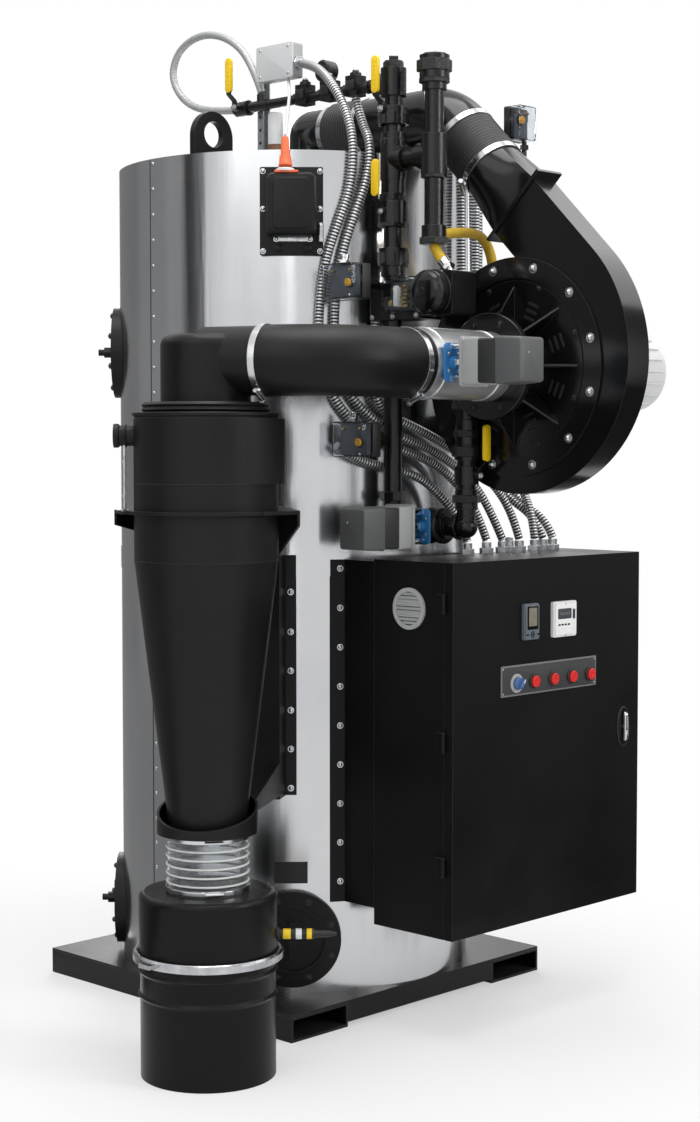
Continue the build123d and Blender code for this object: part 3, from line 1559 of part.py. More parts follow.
with BuildPart() as sight_pipe:
    with BuildSketch(Plane((sight_pipe_x, sight_pipe_y, jacket_top))):
        Circle(sight_pipe_r)
    extrude(amount=sight_pipe_top - jacket_top)
write(sight_pipe, "sight_pipe")

# Conduit fittings on top of the panel and on the motor's terminal box
with BuildPart() as conduit_fittings:
    for place_x in gland_x:
        with BuildSketch(Plane((place_x, fitting_y, panel_top))):
            RegularPolygon(fitting_r, 6)
        extrude(amount=fitting_h / 2)
        with BuildSketch(Plane((place_x, fitting_y, panel_top + fitting_h / 2))):
            Circle(conduit_r + clamp_t)
        extrude(amount=fitting_h / 2)
write(conduit_fittings, "conduit_fittings")

# Flexible conduits down the jacket and over to the panel
conduit_routes = (
    (
        (-163, junction_y - junction_w / 2 - end_gap, 2486),
        (-176, -262, 2466),
        (-196, -330, 2420),
        (-204, -392, 2350),
        (-222, -446, 2250),
        (-232, -446, 2130),
        (-264, -430, 2040),
        (-292, -412, 1945),
        (-306, -404, 1830),
        (-306, -404, 1700),
        (-276, -428, 1590),
        (-210, -466, 1520),
        (-110, -499, 1470),
        (0, -514, 1440),
        (90, -525, panel_top + 185),
        (148, -545, panel_top + 105),
        (gland_x[1], fitting_y, entry_z),
    ),
    (
        (-158, -389, 2368),
        (-160, -412, 2308),
        (-180, -466, 2240),
        (-196, -466, 2150),
        (-226, -450, 2060),
        (-254, -434, 1965),
        (-272, -426, 1850),
        (-272, -426, 1715),
        (-246, -444, 1615),
        (-186, -473, 1548),
        (-100, -500, 1500),
        (10, -514, 1466),
        (110, -518, 1415),
        (190, -535, panel_top + 145),
        (gland_x[2], fitting_y, entry_z),
    ),
    (
        (-186, -486, train_top - train_h - running_gap),
        (-190, -484, 1710),
        (-188, -480, 1625),
        (-150, -484, 1562),
        (-60, -505, 1528),
        (30, -514, 1492),
        (130, -518, 1448),
        (220, -530, 1385),
        (285, -546, panel_top + 110),
        (gland_x[4], fitting_y, entry_z),
    ),
    (
        (-300, -461, 1480),
        (-258, -462, 1456),
        (-200, -470, 1436),
        (-125, -489, 1422),
        (-40, -512, 1398),
        (30, -530, panel_top + 145),
        (76, -552, panel_top + 80),
        (gland_x[0], fitting_y, entry_z),
    ),
)
motor_box_y = fan_y + motor_box_w / 2
conduit_routes += (
    (
        (154, -472, 2215),
        (156, -475, 2080),
        (156, -474, 1940),
        (162, -484, 1855),
        (200, -560, 1802),
        (240, -650, 1798),
        (motor_box_x, motor_box_y + 2 * running_gap, 1798),
    ),
    (
        (328, -384, 2215),
        (331, -388, 2080),
        (330, -387, 1940),
        (334, -388, 1800),
        (340, -384, 1660),
        (350, -384, 1520),
        (380, -400, 1400),
        (420, -470, panel_top + 125),
        (440, -540, panel_top + 83),
        (gland_x[7], fitting_y, entry_z),
    ),
)
bundle(conduit_routes, conduit_r, "conduits")

# Yellow gas vent hoses, the braided pilot loop and the ignition lead
vent_routes = (
    (
        (riser_x + coupling_r + end_gap / 2, supply_y, 2006),
        (-50, -652, 2018),
        (40, -648, 2018),
        (92, -640, 1960),
        (112, -622, 1870),
        (118, -604, 1770),
        (120, -600, 1670),
        (120, -600, bracket_top_z),
    ),
    (
        (riser_x, supply_y - running_gap, supply_cap_z - supply_cap_h / 2 - 1.25 * end_gap),
        (riser_x, -672, 1952),
        (riser_x, vent_fitting_y + running_gap, regulator_z + regulator_h / 2 + bead_h + 2.2 * end_gap),
    ),
)
bundle(vent_routes, yellow_r, "yellow_vent_hoses")

pilot_route = (
    (riser_x, pilot_end_y + 2 * running_gap, pilot_z),
    (riser_x, 180, 2400),
    (riser_x, 280, 2440),
    (riser_x, 334, 2515),
    (riser_x, 300, 2588),
    (riser_x, 200, 2618),
    (riser_x, 90, 2590),
    (riser_x, 5, 2520),
    (riser_x, pilot_tee_y, pilot_tee_top + end_gap),
)
bundle((pilot_route,), braid_r, "braided_pilot_hose")

boot_foot = Vector(-375, -354, 2178)
boot_tip = Vector(-357, -335, 2256)
boot_plane = Plane(origin=boot_foot, z_dir=boot_tip - boot_foot)
with BuildPart() as ignition_boot:
    with BuildSketch(boot_plane.offset(-running_gap)):
        Circle(boot_r)
    with BuildSketch(boot_plane.offset((boot_tip - boot_foot).length)):
        Circle(boot_r / 2)
    loft()

lead_route = (
    tuple(boot_tip + (boot_tip - boot_foot) / 26),
    (-304, -286, 2300),
    (-240, -226, 2360),
    (-192, -182, 2408),
    (-166, -150, junction_z - junction_h / 2 - 0.64 * end_gap),
)
gather((ignition_boot, tube(lead_route, lead_r)), "ignition_lead")
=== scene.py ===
import bpy
import bmesh
import math
from mathutils import Matrix, Vector


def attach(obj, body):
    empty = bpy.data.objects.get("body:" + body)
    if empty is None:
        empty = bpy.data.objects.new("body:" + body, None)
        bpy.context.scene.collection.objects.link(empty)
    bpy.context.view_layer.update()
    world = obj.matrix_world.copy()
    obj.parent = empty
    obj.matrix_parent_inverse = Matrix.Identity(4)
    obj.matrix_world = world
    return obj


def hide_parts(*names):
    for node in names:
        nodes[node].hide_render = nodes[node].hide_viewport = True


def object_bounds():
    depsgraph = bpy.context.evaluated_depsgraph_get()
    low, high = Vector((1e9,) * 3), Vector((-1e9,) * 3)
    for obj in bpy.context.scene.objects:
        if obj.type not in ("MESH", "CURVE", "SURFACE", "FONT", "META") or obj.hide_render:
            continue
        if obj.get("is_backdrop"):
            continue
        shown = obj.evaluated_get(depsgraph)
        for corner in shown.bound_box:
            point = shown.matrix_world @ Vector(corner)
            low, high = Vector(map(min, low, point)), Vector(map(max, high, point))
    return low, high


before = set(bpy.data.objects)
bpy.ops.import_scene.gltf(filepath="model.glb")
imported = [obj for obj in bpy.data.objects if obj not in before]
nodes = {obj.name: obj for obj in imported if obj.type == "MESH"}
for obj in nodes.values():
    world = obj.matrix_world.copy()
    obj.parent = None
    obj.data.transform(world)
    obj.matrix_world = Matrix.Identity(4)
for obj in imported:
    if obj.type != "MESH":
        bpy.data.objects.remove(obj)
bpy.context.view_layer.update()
collection = bpy.context.scene.collection
print("frame loaded:", len(nodes), "nodes")

# Shapes are drawn in millimetres, into one mesh in hand, and place() turns them into metres
mm = 0.001
left, front, back, up = (-1, 0, 0), (0, -1, 0), (0, 1, 0), (0, 0, 1)
bm = bmesh.new()


def place(origin, facing=up, level=None):
    # Z looks along facing, X is level and to the right as seen from in front
    z = Vector(facing).normalized()
    if level is None:
        level = Vector(up).cross(z) if abs(z.z) < 0.95 else Vector((1, 0, 0))
    x = Vector(level)
    x = (x - z * x.dot(z)).normalized()
    turn = Matrix((x, z.cross(x), z)).transposed().to_4x4()
    return Matrix.Translation(Vector(origin) * mm) @ turn @ Matrix.Scale(mm, 4)


def local(at, x, y, z=0):
    # Where a point of a placed frame is, in millimetres
    return at @ Vector((x, y, z)) / mm


def wayTo(angle, rise=0):
    turn = math.radians(angle)
    return Vector((math.cos(turn), math.sin(turn), rise))


def onJacket(angle, out, height):
    return place(wayTo(angle) * out + Vector((0, 0, height)), wayTo(angle))


def skin(rings, slot=0, cap=True, wrap=True):
    # Faces from ring to ring; a ring of one vertex is a point, and caps close the two ends
    for low, high in zip(rings, rings[1:]):
        count = max(len(low), len(high))
        for i in range(count if wrap else count - 1):
            j = (i + 1) % count
            corners = (low[i % len(low)], low[j % len(low)], high[j % len(high)], high[i % len(high)])
            corners = list(dict.fromkeys(corners))
            if len(corners) > 2:
                bm.faces.new(corners).material_index = slot
    for ring in (rings[0][::-1], rings[-1]) if cap else ():
        if len(ring) > 2:
            bm.faces.new(ring).material_index = slot


def lathe(at, profile, sides=24, slot=0):
    # Turns (radius, height) points round Z; an end with no radius closes in a point
    rings = []
    for radius, height in profile:
        turns = [2 * math.pi * i / sides for i in range(sides)] if radius else [0]
        rings.append([bm.verts.new(at @ Vector((radius * math.cos(t), radius * math.sin(t), height)))
                      for t in turns])
    skin(rings, slot)


def sweep(at, section, start, end, steps, stretch=0, wrap=True, slot=0):
    # Carries (radius, height) points round Z; a full turn closes on itself
    full = end - start == 360
    rings = []
    for i in range(steps if full else steps + 1):
        way = wayTo(start + (end - start) * i / steps)
        rings.append([bm.verts.new(at @ Vector((r * way.x, (r + stretch) * way.y, h))) for r, h in section])
    skin(rings + rings[:1] if full else rings, slot, not full, wrap)


def hoop(at, inner, outer, low, high, sides=48, edge=0.6, slot=0):
    # A closed ring with small chamfers on its outer corners
    section = [(inner, low), (outer - edge, low), (outer, low + edge), (outer, high - edge), (outer - edge, high),
               (inner, high)]
    sweep(at, section, 0, 360, sides, slot=slot)


def box(at, outline, low, high, edge=0.0, taper=1.0, slot=0):
    # A plate with round corners and a chamfered far face; outline is width, height, corner and steps
    width, height, corner, steps = (*outline, 4)[:4]
    points = []
    for sx, sy, start in ((1, 1, 0), (-1, 1, 90), (-1, -1, 180), (1, -1, 270)):
        for i in range(steps + 1):
            way = wayTo(start + 90 * i / steps) * corner
            points.append((sx * (width / 2 - corner) + way.x, sy * (height / 2 - corner) + way.y))
    step = math.copysign(edge, high - low)
    levels = [(low, 1.0, 0.0), (high, taper, edge)]
    if edge:
        levels[1:1] = [(high - step, taper, 0.0), (high - step * 0.3, taper, edge * 0.3)]
    rings = []
    for level, grow, inset in levels:
        fx, fy = (grow * (1 - 2 * inset / side) for side in (width, height))
        rings.append([bm.verts.new(at @ Vector((x * fx, y * fy, level))) for x, y in points])
    skin(rings, slot)


def bar(start, end, radius, sides=12, slot=0):
    run = Vector(end) - Vector(start)
    edge = min(radius * 0.15, run.length * 0.1)
    profile = [(radius - edge, 0), (radius, edge), (radius, run.length - edge), (radius - edge, run.length)]
    lathe(place(start, run), profile, sides, slot)


def takeMesh(name, finishes):
    mesh = bpy.data.meshes.new(name)
    bm.to_mesh(mesh)
    bm.clear()
    for finish in finishes:
        mesh.materials.append(finish)
    return mesh


def soften(mesh, angle):
    for face in mesh.polygons:
        face.use_smooth = True
    mesh.set_sharp_from_angle(angle=math.radians(angle))


def ridePiece(mesh, name, body, stands=()):
    piece = bpy.data.objects.new(name, mesh)
    collection.objects.link(piece)
    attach(piece, body)
    if stands:
        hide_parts(*stands)
    return piece


def finishPiece(name, finishes, record, *stands, body="boiler", smooth=35):
    bmesh.ops.recalc_face_normals(bm, faces=bm.faces[:])
    mesh = takeMesh(name, finishes)
    soften(mesh, smooth)
    return ridePiece(mesh, name, body, stands)


# Node trees: inputs maps a socket's name or number to a value or to the socket that feeds it
def feed(tree, value, socket):
    if isinstance(value, bpy.types.NodeSocket):
        tree.links.new(value, socket)
    else:
        socket.default_value = value


def addNode(tree, kind, inputs=None, **settings):
    node = tree.nodes.new(kind)
    for key, value in settings.items():
        setattr(node, key, value)
    fill(tree, node, inputs or {})
    return node


def fill(tree, node, inputs):
    for label, value in inputs.items():
        feed(tree, value, node.inputs[label])


def mathNode(tree, operation, *values, clamp=False):
    return addNode(tree, "ShaderNodeMath", dict(enumerate(values)), operation=operation, use_clamp=clamp).outputs[0]


def mixColour(tree, factor, first, second):
    return addNode(tree, "ShaderNodeMix", {0: factor, 6: first, 7: second}, data_type="RGBA").outputs[2]


def mapRange(tree, value, **limits):
    # limits are fromMin, fromMax, toMin and toMax
    labels = {"fromMin": "From Min", "fromMax": "From Max", "toMin": "To Min", "toMax": "To Max"}
    inputs = {labels[key]: limit for key, limit in limits.items()}
    return addNode(tree, "ShaderNodeMapRange", {**inputs, "Value": value}).outputs[0]


def newMaterial(name):
    material = bpy.data.materials.new(name)
    material.use_nodes = True
    return material, material.node_tree, material.node_tree.nodes["Principled BSDF"]


def newTree(kind, name, inputs, outputs):
    # The kind of each socket follows from its first value; None is a finish
    kinds = {float: "Float", int: "Int", tuple: "Vector", type(None): "Material", str: "Geometry"}
    tree = bpy.data.node_groups.new(name, kind)
    for side, sockets in (("INPUT", inputs), ("OUTPUT", outputs)):
        for label, value in sockets.items():
            socket = tree.interface.new_socket(label, in_out=side, socket_type="NodeSocket" + kinds[type(value)])
            if side == "INPUT" and isinstance(value, (float, int, tuple)):
                socket.default_value = value
    return tree, tree.nodes.new("NodeGroupInput").outputs, tree.nodes.new("NodeGroupOutput")


# Camera and studio
camera = {"lens": 63.366, "sensor": 36.0, "reach": 100.0, "at": (-3.8393, -3.9483, 1.4759), "pitch": 3.292,
          "azimuth": 45.804}
cameraData = bpy.data.cameras.new("photoCamera")
cameraData.lens, cameraData.sensor_width = camera["lens"], camera["sensor"]
cameraData.clip_end = camera["reach"]
cameraObject = bpy.data.objects.new("photoCamera", cameraData)
collection.objects.link(cameraObject)
cameraObject.location = camera["at"]
cameraObject.rotation_euler = (math.radians(90 - camera["pitch"]), 0, math.radians(-camera["azimuth"]))
bpy.context.scene.camera = cameraObject
bpy.context.scene.view_settings.view_transform = "Standard"

# Lamps: where, aimed at, width, height and power
lamps = {
    "frontSoftbox": ((-5.6, -2.2, 4.6), (0, 0, 1.1), 4.2, 3.6, 58),
    "rightSoftbox": ((1.6, -5.8, 3.4), (0, -0.3, 1.3), 1.8, 2.6, 120),
    "topSoftbox": ((-0.6, -0.8, 5.4), (0, 0, 1.0), 2.6, 2.6, 110),
    "backSoftbox": ((3.4, 3.8, 3.2), (0, 0, 1.2), 2.0, 2.4, 110),
    "stripLight": ((-4.4, -4.0, 2.0), (0, 0, 1.2), 0.07, 3.4, 4),
}
for name, (at, towards, wide, tall, power) in lamps.items():
    data = bpy.data.lights.new(name, "AREA")
    data.shape = "RECTANGLE"
    data.size, data.size_y, data.energy = wide, tall, power
    lampObject = bpy.data.objects.new(name, data)
    collection.objects.link(lampObject)
    lampObject.location = at
    lampObject.rotation_euler = (Vector(towards) - Vector(at)).to_track_quat("-Z", "Y").to_euler()

studio = {"shown": 1.0, "fill": 0.62, "floor": 0.86, "floorRough": 0.9, "floorSide": 40000,
          "fade": {"fromMin": 0.9, "fromMax": 2.6, "toMin": 0.45, "toMax": 1.0}}


def pathSum(tree):
    # 1 for camera, mirror and glass rays, so that those see the plain background
    rays = addNode(tree, "ShaderNodeLightPath").outputs
    seen = mathNode(tree, "MAXIMUM", rays["Is Camera Ray"], rays["Is Glossy Ray"])
    return mathNode(tree, "MAXIMUM", seen, rays["Is Transmission Ray"])


world = bpy.data.worlds.new("studioWorld")
bpy.context.scene.world = world
world.use_nodes = True
worldTree = world.node_tree
worldTree.nodes.clear()
filled, shown = (addNode(worldTree, "ShaderNodeBackground",
                         {"Color": (1, 1, 1, 1), "Strength": studio[key]}).outputs[0] for key in ("fill", "shown"))
worldMix = addNode(worldTree, "ShaderNodeMixShader", {0: pathSum(worldTree), 1: filled, 2: shown})
addNode(worldTree, "ShaderNodeOutputWorld", {0: worldMix.outputs[0]})


def plainMaterial(name, colour, rough):
    material, tree, shader = newMaterial(name)
    fill(tree, shader, {"Base Color": (*colour, 1), "Roughness": rough, "Specular IOR Level": 0.1})
    return material


def stagePiece(name, finish, mirrorsOnly=True):
    piece = bpy.data.objects.new(name, takeMesh(name, [finish]))
    collection.objects.link(piece)
    if mirrorsOnly:
        piece.visible_camera = piece.visible_diffuse = piece.visible_shadow = piece.visible_transmission = False
    piece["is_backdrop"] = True


# The floor fades to white away from the boiler
floorFinish = plainMaterial("paleFloor", (studio["floor"],) * 3, studio["floorRough"])
floorTree = floorFinish.node_tree
where = addNode(floorTree, "ShaderNodeTexCoord").outputs["Object"]
reach = addNode(floorTree, "ShaderNodeVectorMath", {0: where}, operation="LENGTH").outputs["Value"]
share = mathNode(floorTree, "MULTIPLY", mapRange(floorTree, reach, **studio["fade"]), pathSum(floorTree))
glow = addNode(floorTree, "ShaderNodeEmission").outputs[0]
paint = floorTree.nodes["Principled BSDF"].outputs[0]
floorMix = addNode(floorTree, "ShaderNodeMixShader", {0: share, 1: paint, 2: glow})
feed(floorTree, floorMix.outputs[0], floorTree.nodes["Material Output"].inputs["Surface"])
box(place((0, 0, 0)), (studio["floorSide"], studio["floorSide"], 100), -20, -0.4)
stagePiece("studioFloor", floorFinish, False)

# Flags seen only in polished surfaces: degrees round from the camera, distance, width and glow
flags = {
    "flagLeft": (-66, 7.0, 2.1, 0.03), "greySideLeft": (-98, 8.4, 6.6, 0.3), "greyBackLeft": (-142, 8.4, 7.0, 0.22),
    "flagThinLeft": (-84, 7.6, 0.6, 0.42), "flagRight": (37, 7.0, 0.55, 0.06), "flagFarRight": (68, 7.0, 3.4, 0.03),
    "flagBackRight": (140, 8.0, 2.6, 0.03), "greySideRight": (106, 8.0, 4.0, 0.2),
}
# Sectors of the floor seen the same way: first and last angle, nearest radius and glow
sectors = {"floorDarkLeft": (-58, -75, 900, 0.04), "floorGreyLeft": (-75, -170, 900, 0.24),
           "floorDarkRight": (52, 118, 1400, 0.05)}
# A bright card high on the right lights the fan's rim and outlet
card = {"at": (4400, -1500, 5600), "towards": (100, -800, 2000), "size": 4200, "glow": 2.5}
flagTall, flagMiddle, flagThick, sectorReach, sectorSteps, sectorLift = 6000, 2500, 20, 9000, 8, 0.5
cameraWay = Vector((camera["at"][0], camera["at"][1], 0)).normalized()


def besideCamera(angle):
    return Matrix.Rotation(math.radians(angle), 3, "Z") @ cameraWay


def glowing(name, strength):
    cloth = plainMaterial(name + "Cloth", (0, 0, 0), 1.0)
    fill(cloth.node_tree, cloth.node_tree.nodes["Principled BSDF"],
         {"Emission Color": (1, 1, 1, 1), "Emission Strength": strength})
    return cloth


for name, (angle, far, width, strength) in flags.items():
    way = besideCamera(angle)
    foot = way * far * 1000 + Vector((0, 0, flagMiddle))
    box(place(foot, -way), (width * 1000, flagTall, 50), 0, flagThick)
    stagePiece(name, glowing(name, strength))
for name, (first, last, near, strength) in sectors.items():
    ways = [besideCamera(first + (last - first) * k / sectorSteps) for k in range(sectorSteps + 1)]
    edge = [way * near for way in ways] + [way * sectorReach for way in reversed(ways)]
    bm.faces.new([bm.verts.new(Vector((p.x, p.y, sectorLift)) * mm) for p in edge])
    stagePiece(name, glowing(name, strength))
box(place(card["at"], Vector(card["towards"]) - Vector(card["at"])), (card["size"], card["size"], 50), 0, flagThick)
stagePiece("highCard", glowing("highCard", card["glow"]))
print("camera and studio ready")


# Shader node groups that several finishes use
def tone(red, green=None, blue=None):
    # The linear colour of a screen colour from 0 to 255; one number is a grey
    values = []
    for value in (red, red if green is None else green, red if blue is None else blue):
        value /= 255
        values.append(value / 12.92 if value <= 0.04045 else ((value + 0.055) / 1.055) ** 2.4)
    return (*values, 1.0)


def makeVariation():
    # Patchy and fine noise on object coordinates, stretched by a vector
    group, given, out = newTree("ShaderNodeTree", "surfaceVariation",
                                {"Stretch": (1, 1, 1), "Patch Scale": 4.0, "Fine Scale": 300.0},
                                {"Patch": 0.0, "Fine": 0.0})
    where = addNode(group, "ShaderNodeTexCoord").outputs["Object"]
    stretch = addNode(group, "ShaderNodeVectorMath", {0: where, 1: given["Stretch"]},
                      operation="MULTIPLY").outputs[0]
    for label, detail in (("Patch", 5.0), ("Fine", 2.0)):
        noise = addNode(group, "ShaderNodeTexNoise", {"Detail": detail, "Roughness": 0.55, "Vector": stretch,
                                                      "Scale": given[label + " Scale"]})
        feed(group, mapRange(group, noise.outputs[0], fromMin=0.3, fromMax=0.7), out.inputs[label])
    return group


def makeEdges():
    # Rounded corners as a normal, and a mask where that normal leaves the flat one
    group, given, out = newTree("ShaderNodeTree", "softEdges", {"Radius": 0.0015, "Gain": 3.0},
                                {"Mask": 0.0, "Normal": (0, 0, 0)})
    bevel = addNode(group, "ShaderNodeBevel", {"Radius": given["Radius"]}, samples=4).outputs[0]
    flat = addNode(group, "ShaderNodeNewGeometry").outputs["Normal"]
    dot = addNode(group, "ShaderNodeVectorMath", {0: bevel, 1: flat}, operation="DOT_PRODUCT").outputs["Value"]
    away = mathNode(group, "SUBTRACT", 1.0, dot)
    fill(group, out, {"Mask": mathNode(group, "MULTIPLY", away, given["Gain"], clamp=True), "Normal": bevel})
    return group


def makeDust():
    # Faint dust on faces that look up, broken by noise
    group, given, out = newTree("ShaderNodeTree", "settledDust", {"Amount": 0.15, "Scale": 9.0}, {"Mask": 0.0})
    flat = addNode(group, "ShaderNodeNewGeometry").outputs["Normal"]
    height = addNode(group, "ShaderNodeSeparateXYZ", {0: flat}).outputs["Z"]
    where = addNode(group, "ShaderNodeTexCoord").outputs["Object"]
    noise = addNode(group, "ShaderNodeTexNoise",
                    {"Detail": 6.0, "Vector": where, "Scale": given["Scale"]}).outputs[0]
    mixed = mathNode(group, "MULTIPLY", mathNode(group, "MAXIMUM", height, 0.0), noise)
    feed(group, mathNode(group, "MULTIPLY", mixed, given["Amount"], clamp=True), out.inputs["Mask"])
    return group


variationGroup, edgeGroup, dustGroup = makeVariation(), makeEdges(), makeDust()


def useGroup(tree, group, **inputs):
    # Input names are given with small letters, such as patchScale for Patch Scale
    node = addNode(tree, "ShaderNodeGroup", node_tree=group)
    for socket in node.inputs:
        key = socket.name.replace(" ", "")
        key = key[0].lower() + key[1:]
        if key in inputs:
            socket.default_value = inputs[key]
    return node.outputs


coatDefaults = {
    "rough": 0.4, "spread": 0.08, "metallic": 0.0, "specular": 0.35, "bump": 0.15, "bumpDepth": 0.0004,
    "stretch": (1, 1, 1), "patch": 4.0, "fine": 300.0, "edge": 0.0012, "worn": 0.25, "edgeTone": (150,),
    "dust": 0.12, "clear": 0.0,
}


def coat(name, colour, other, **settings):
    # A painted, cast, plated or moulded surface, patchy between two colours, with edges lightened partly by wear
    # and partly by painted highlight
    s = {**coatDefaults, **settings}
    material, tree, shader = newMaterial(name)
    variation = useGroup(tree, variationGroup, stretch=s["stretch"], patchScale=s["patch"], fineScale=s["fine"])
    edges = useGroup(tree, edgeGroup, radius=s["edge"], gain=4.0)
    dust = useGroup(tree, dustGroup, amount=s["dust"], scale=11.0)
    mixed = mixColour(tree, variation["Patch"], tone(*colour), tone(*other))
    # Edges go towards a lighter tone: partly wear, partly painted highlight where edges catch the light
    mixed = mixColour(tree, mathNode(tree, "MULTIPLY", edges["Mask"], s["worn"]), mixed, tone(*s["edgeTone"]))
    mixed = mixColour(tree, dust["Mask"], mixed, tone(150, 148, 142))
    rough = mapRange(tree, variation["Patch"], toMin=s["rough"] - s["spread"], toMax=s["rough"] + s["spread"])
    bump = addNode(tree, "ShaderNodeBump",
                   {"Strength": s["bump"], "Distance": s["bumpDepth"], "Height": variation["Fine"],
                    "Normal": edges["Normal"]})
    fill(tree, shader,
         {"Base Color": mixed, "Roughness": rough, "Normal": bump.outputs[0], "Metallic": s["metallic"],
          "Specular IOR Level": s["specular"]})
    if s["clear"]:
        fill(tree, shader, {"Coat Weight": s["clear"], "Coat Roughness": 0.12})
    return material


satinBlack = coat("satinPowderCoat", (17, 17, 18), (22, 22, 23), specular=0.2, fine=900.0, bump=0.2, worn=0.18,
                  dust=0.06)
glossBlack = coat("fanGlossPaint", (12, 12, 13), (17, 17, 18), rough=0.16, spread=0.05, specular=0.3, fine=60.0,
                  bump=0.04, dust=0.05, clear=0.1)
enclosureBlack = coat("enclosurePaint", (17, 17, 18), (21, 21, 22), rough=0.34, specular=0.14, fine=700.0,
                      bump=0.14, worn=0.35)
ironBlack = coat("castIronPaint", (12, 12, 13), (18,), rough=0.22, specular=0.3, fine=260.0, bump=0.45,
                 bumpDepth=0.0007, edge=0.002, worn=0.16, dust=0.05, clear=0.08)
skidBlack = coat("skidPaint", (14, 14, 15), (20,), rough=0.3, specular=0.2, fine=200.0, bump=0.12, worn=0.4,
                 dust=0.15)
drumBlack = coat("drumEnamel", (17, 17, 18), (22, 22, 23), rough=0.28, specular=0.13, fine=120.0, bump=0.08,
                 worn=0.2, dust=0.08)
hoseRubber = coat("hoseRubber", (15, 15, 16), (20, 20, 21), specular=0.18, fine=500.0, bump=0.25, worn=0.05,
                  dust=0.1)
ribRubber = coat("ribbedRubber", (30, 30, 31), (38, 38, 39), rough=0.55, fine=420.0, bump=0.3, dust=0.3, worn=0.2)
bootRubber = coat("bootRubber", (222, 92, 52), (236, 112, 68), rough=0.5, worn=0.05)
zinc = coat("zincPlate", (196, 198, 200), (168, 170, 174), rough=0.26, metallic=1.0, patch=30.0, bump=0.1,
            edgeTone=(235,), dust=0.05)
bandSteel = coat("bandSteel", (214, 215, 216), (188, 190, 193), rough=0.2, metallic=1.0, patch=12.0, fine=500.0,
                 bump=0.08, edgeTone=(245,), dust=0.0)
galvanised = coat("galvanisedSteel", (188, 191, 193), (150, 154, 158), rough=0.38, metallic=0.9, patch=60.0,
                  bump=0.2, edgeTone=(225,))
ductAluminium = coat("ductAluminium", (214, 215, 216), (196, 197, 199), rough=0.3, metallic=0.85, patch=7.0,
                     fine=700.0, stretch=(0.05, 1, 1), bump=0.12, edgeTone=(240,), dust=0.0)
greyPaint = coat("greyPaint", (158, 159, 160), (166, 167, 168), rough=0.42, specular=0.4, fine=500.0, bump=0.12,
                 edgeTone=(215,), dust=0.15)
motorPaint = coat("motorPaint", (206, 207, 208), (198, 199, 200), specular=0.4, bump=0.1, edgeTone=(235,), dust=0.1)
ventPlastic = coat("ventPlastic", (186, 188, 188), (178, 180, 181), rough=0.45, bump=0.1, edgeTone=(225,), dust=0.1)
yellowGrip = coat("yellowGrip", (244, 205, 18), (236, 194, 12), rough=0.38, specular=0.45, bump=0.12,
                  edgeTone=(250, 225, 90), dust=0.0)
yellowHose = coat("yellowHose", (222, 184, 60), (206, 166, 42), rough=0.6, specular=0.3, patch=60.0, fine=650.0,
                  bump=0.5, bumpDepth=0.0008, worn=0.1, dust=0.0)
switchBase = coat("switchBase", (24, 24, 25), (32, 32, 33), rough=0.45)
dialYellow = coat("dialYellow", (226, 168, 32), (206, 146, 22), rough=0.5, patch=80.0, bump=0.2, dust=0.0)
couplingBlue = coat("couplingBlue", (52, 124, 182), (38, 104, 162), patch=40.0, bump=0.2, edgeTone=(120, 175, 215),
                    dust=0.0)
brass = coat("brass", (178, 150, 96), (150, 124, 76), rough=0.3, metallic=1.0, edgeTone=(220, 200, 150), dust=0.0)
copperBrown = coat("copperBrown", (140, 100, 78), (96, 66, 50), rough=0.5, metallic=0.2, patch=40.0, fine=150.0,
                   bump=0.4)
whitePlastic = coat("whitePlastic", (226, 227, 226), (216, 217, 217), bump=0.08, edgeTone=(245,), dust=0.0)
insulationWool = coat("insulationWool", (150, 146, 138), (126, 122, 114), rough=0.9, bump=0.6)
panelGrey = coat("stripGrey", (112, 113, 114), (104, 105, 106), specular=0.4, fine=800.0, bump=0.1, edgeTone=(170,),
                 dust=0.0)
redPlastic = coat("redButton", (214, 36, 30), (196, 26, 22), rough=0.28, specular=0.5, bump=0.03,
                  edgeTone=(240, 110, 100), dust=0.0)
bluePlastic = coat("blueKnob", (74, 110, 160), (58, 92, 142), rough=0.3, specular=0.5, edgeTone=(150, 180, 215),
                   dust=0.0)
chrome = coat("chrome", (228, 229, 230), (216, 217, 218), rough=0.1, spread=0.03, metallic=1.0, bump=0.02,
              edgeTone=(250,), dust=0.0)


def makeJacketSteel():
    # Rolled stainless sheet: level brushing, faint upright ripples and light handling marks
    material, tree, shader = newMaterial("jacketSteel")
    brushing = useGroup(tree, variationGroup, stretch=(4.0, 4.0, 1000.0), patchScale=0.12, fineScale=1.0)
    ripples = useGroup(tree, variationGroup, stretch=(1.0, 1.0, 0.05), patchScale=5.0, fineScale=24.0)
    marks = useGroup(tree, variationGroup, patchScale=2.2, fineScale=14.0)
    colour = mixColour(tree, marks["Patch"], tone(205, 206, 208), tone(190, 192, 195))
    colour = mixColour(tree, mathNode(tree, "MULTIPLY", brushing["Fine"], 0.06), colour, tone(225, 226, 228))
    low = addNode(tree, "ShaderNodeBump", {"Strength": 0.22, "Distance": 0.004, "Height": ripples["Patch"]})
    high = addNode(tree, "ShaderNodeBump",
                   {"Strength": 0.03, "Distance": 0.0002, "Height": brushing["Fine"], "Normal": low.outputs[0]})
    fill(tree, shader,
         {"Metallic": 1.0, "Base Color": colour,
          "Roughness": mapRange(tree, ripples["Fine"], toMin=0.15, toMax=0.25), "Normal": high.outputs[0]})
    return material


def makeClear(name, colour, rough, weight, ior):
    material, tree, shader = newMaterial(name)
    variation = useGroup(tree, variationGroup, patchScale=18.0, fineScale=90.0)
    fill(tree, shader, {"Transmission Weight": weight, "IOR": ior,
                        "Base Color": mixColour(tree, variation["Patch"], tone(*colour), tone(232, 236, 238)),
                        "Roughness": mapRange(tree, variation["Fine"], toMin=rough, toMax=rough + 0.02)})
    return material


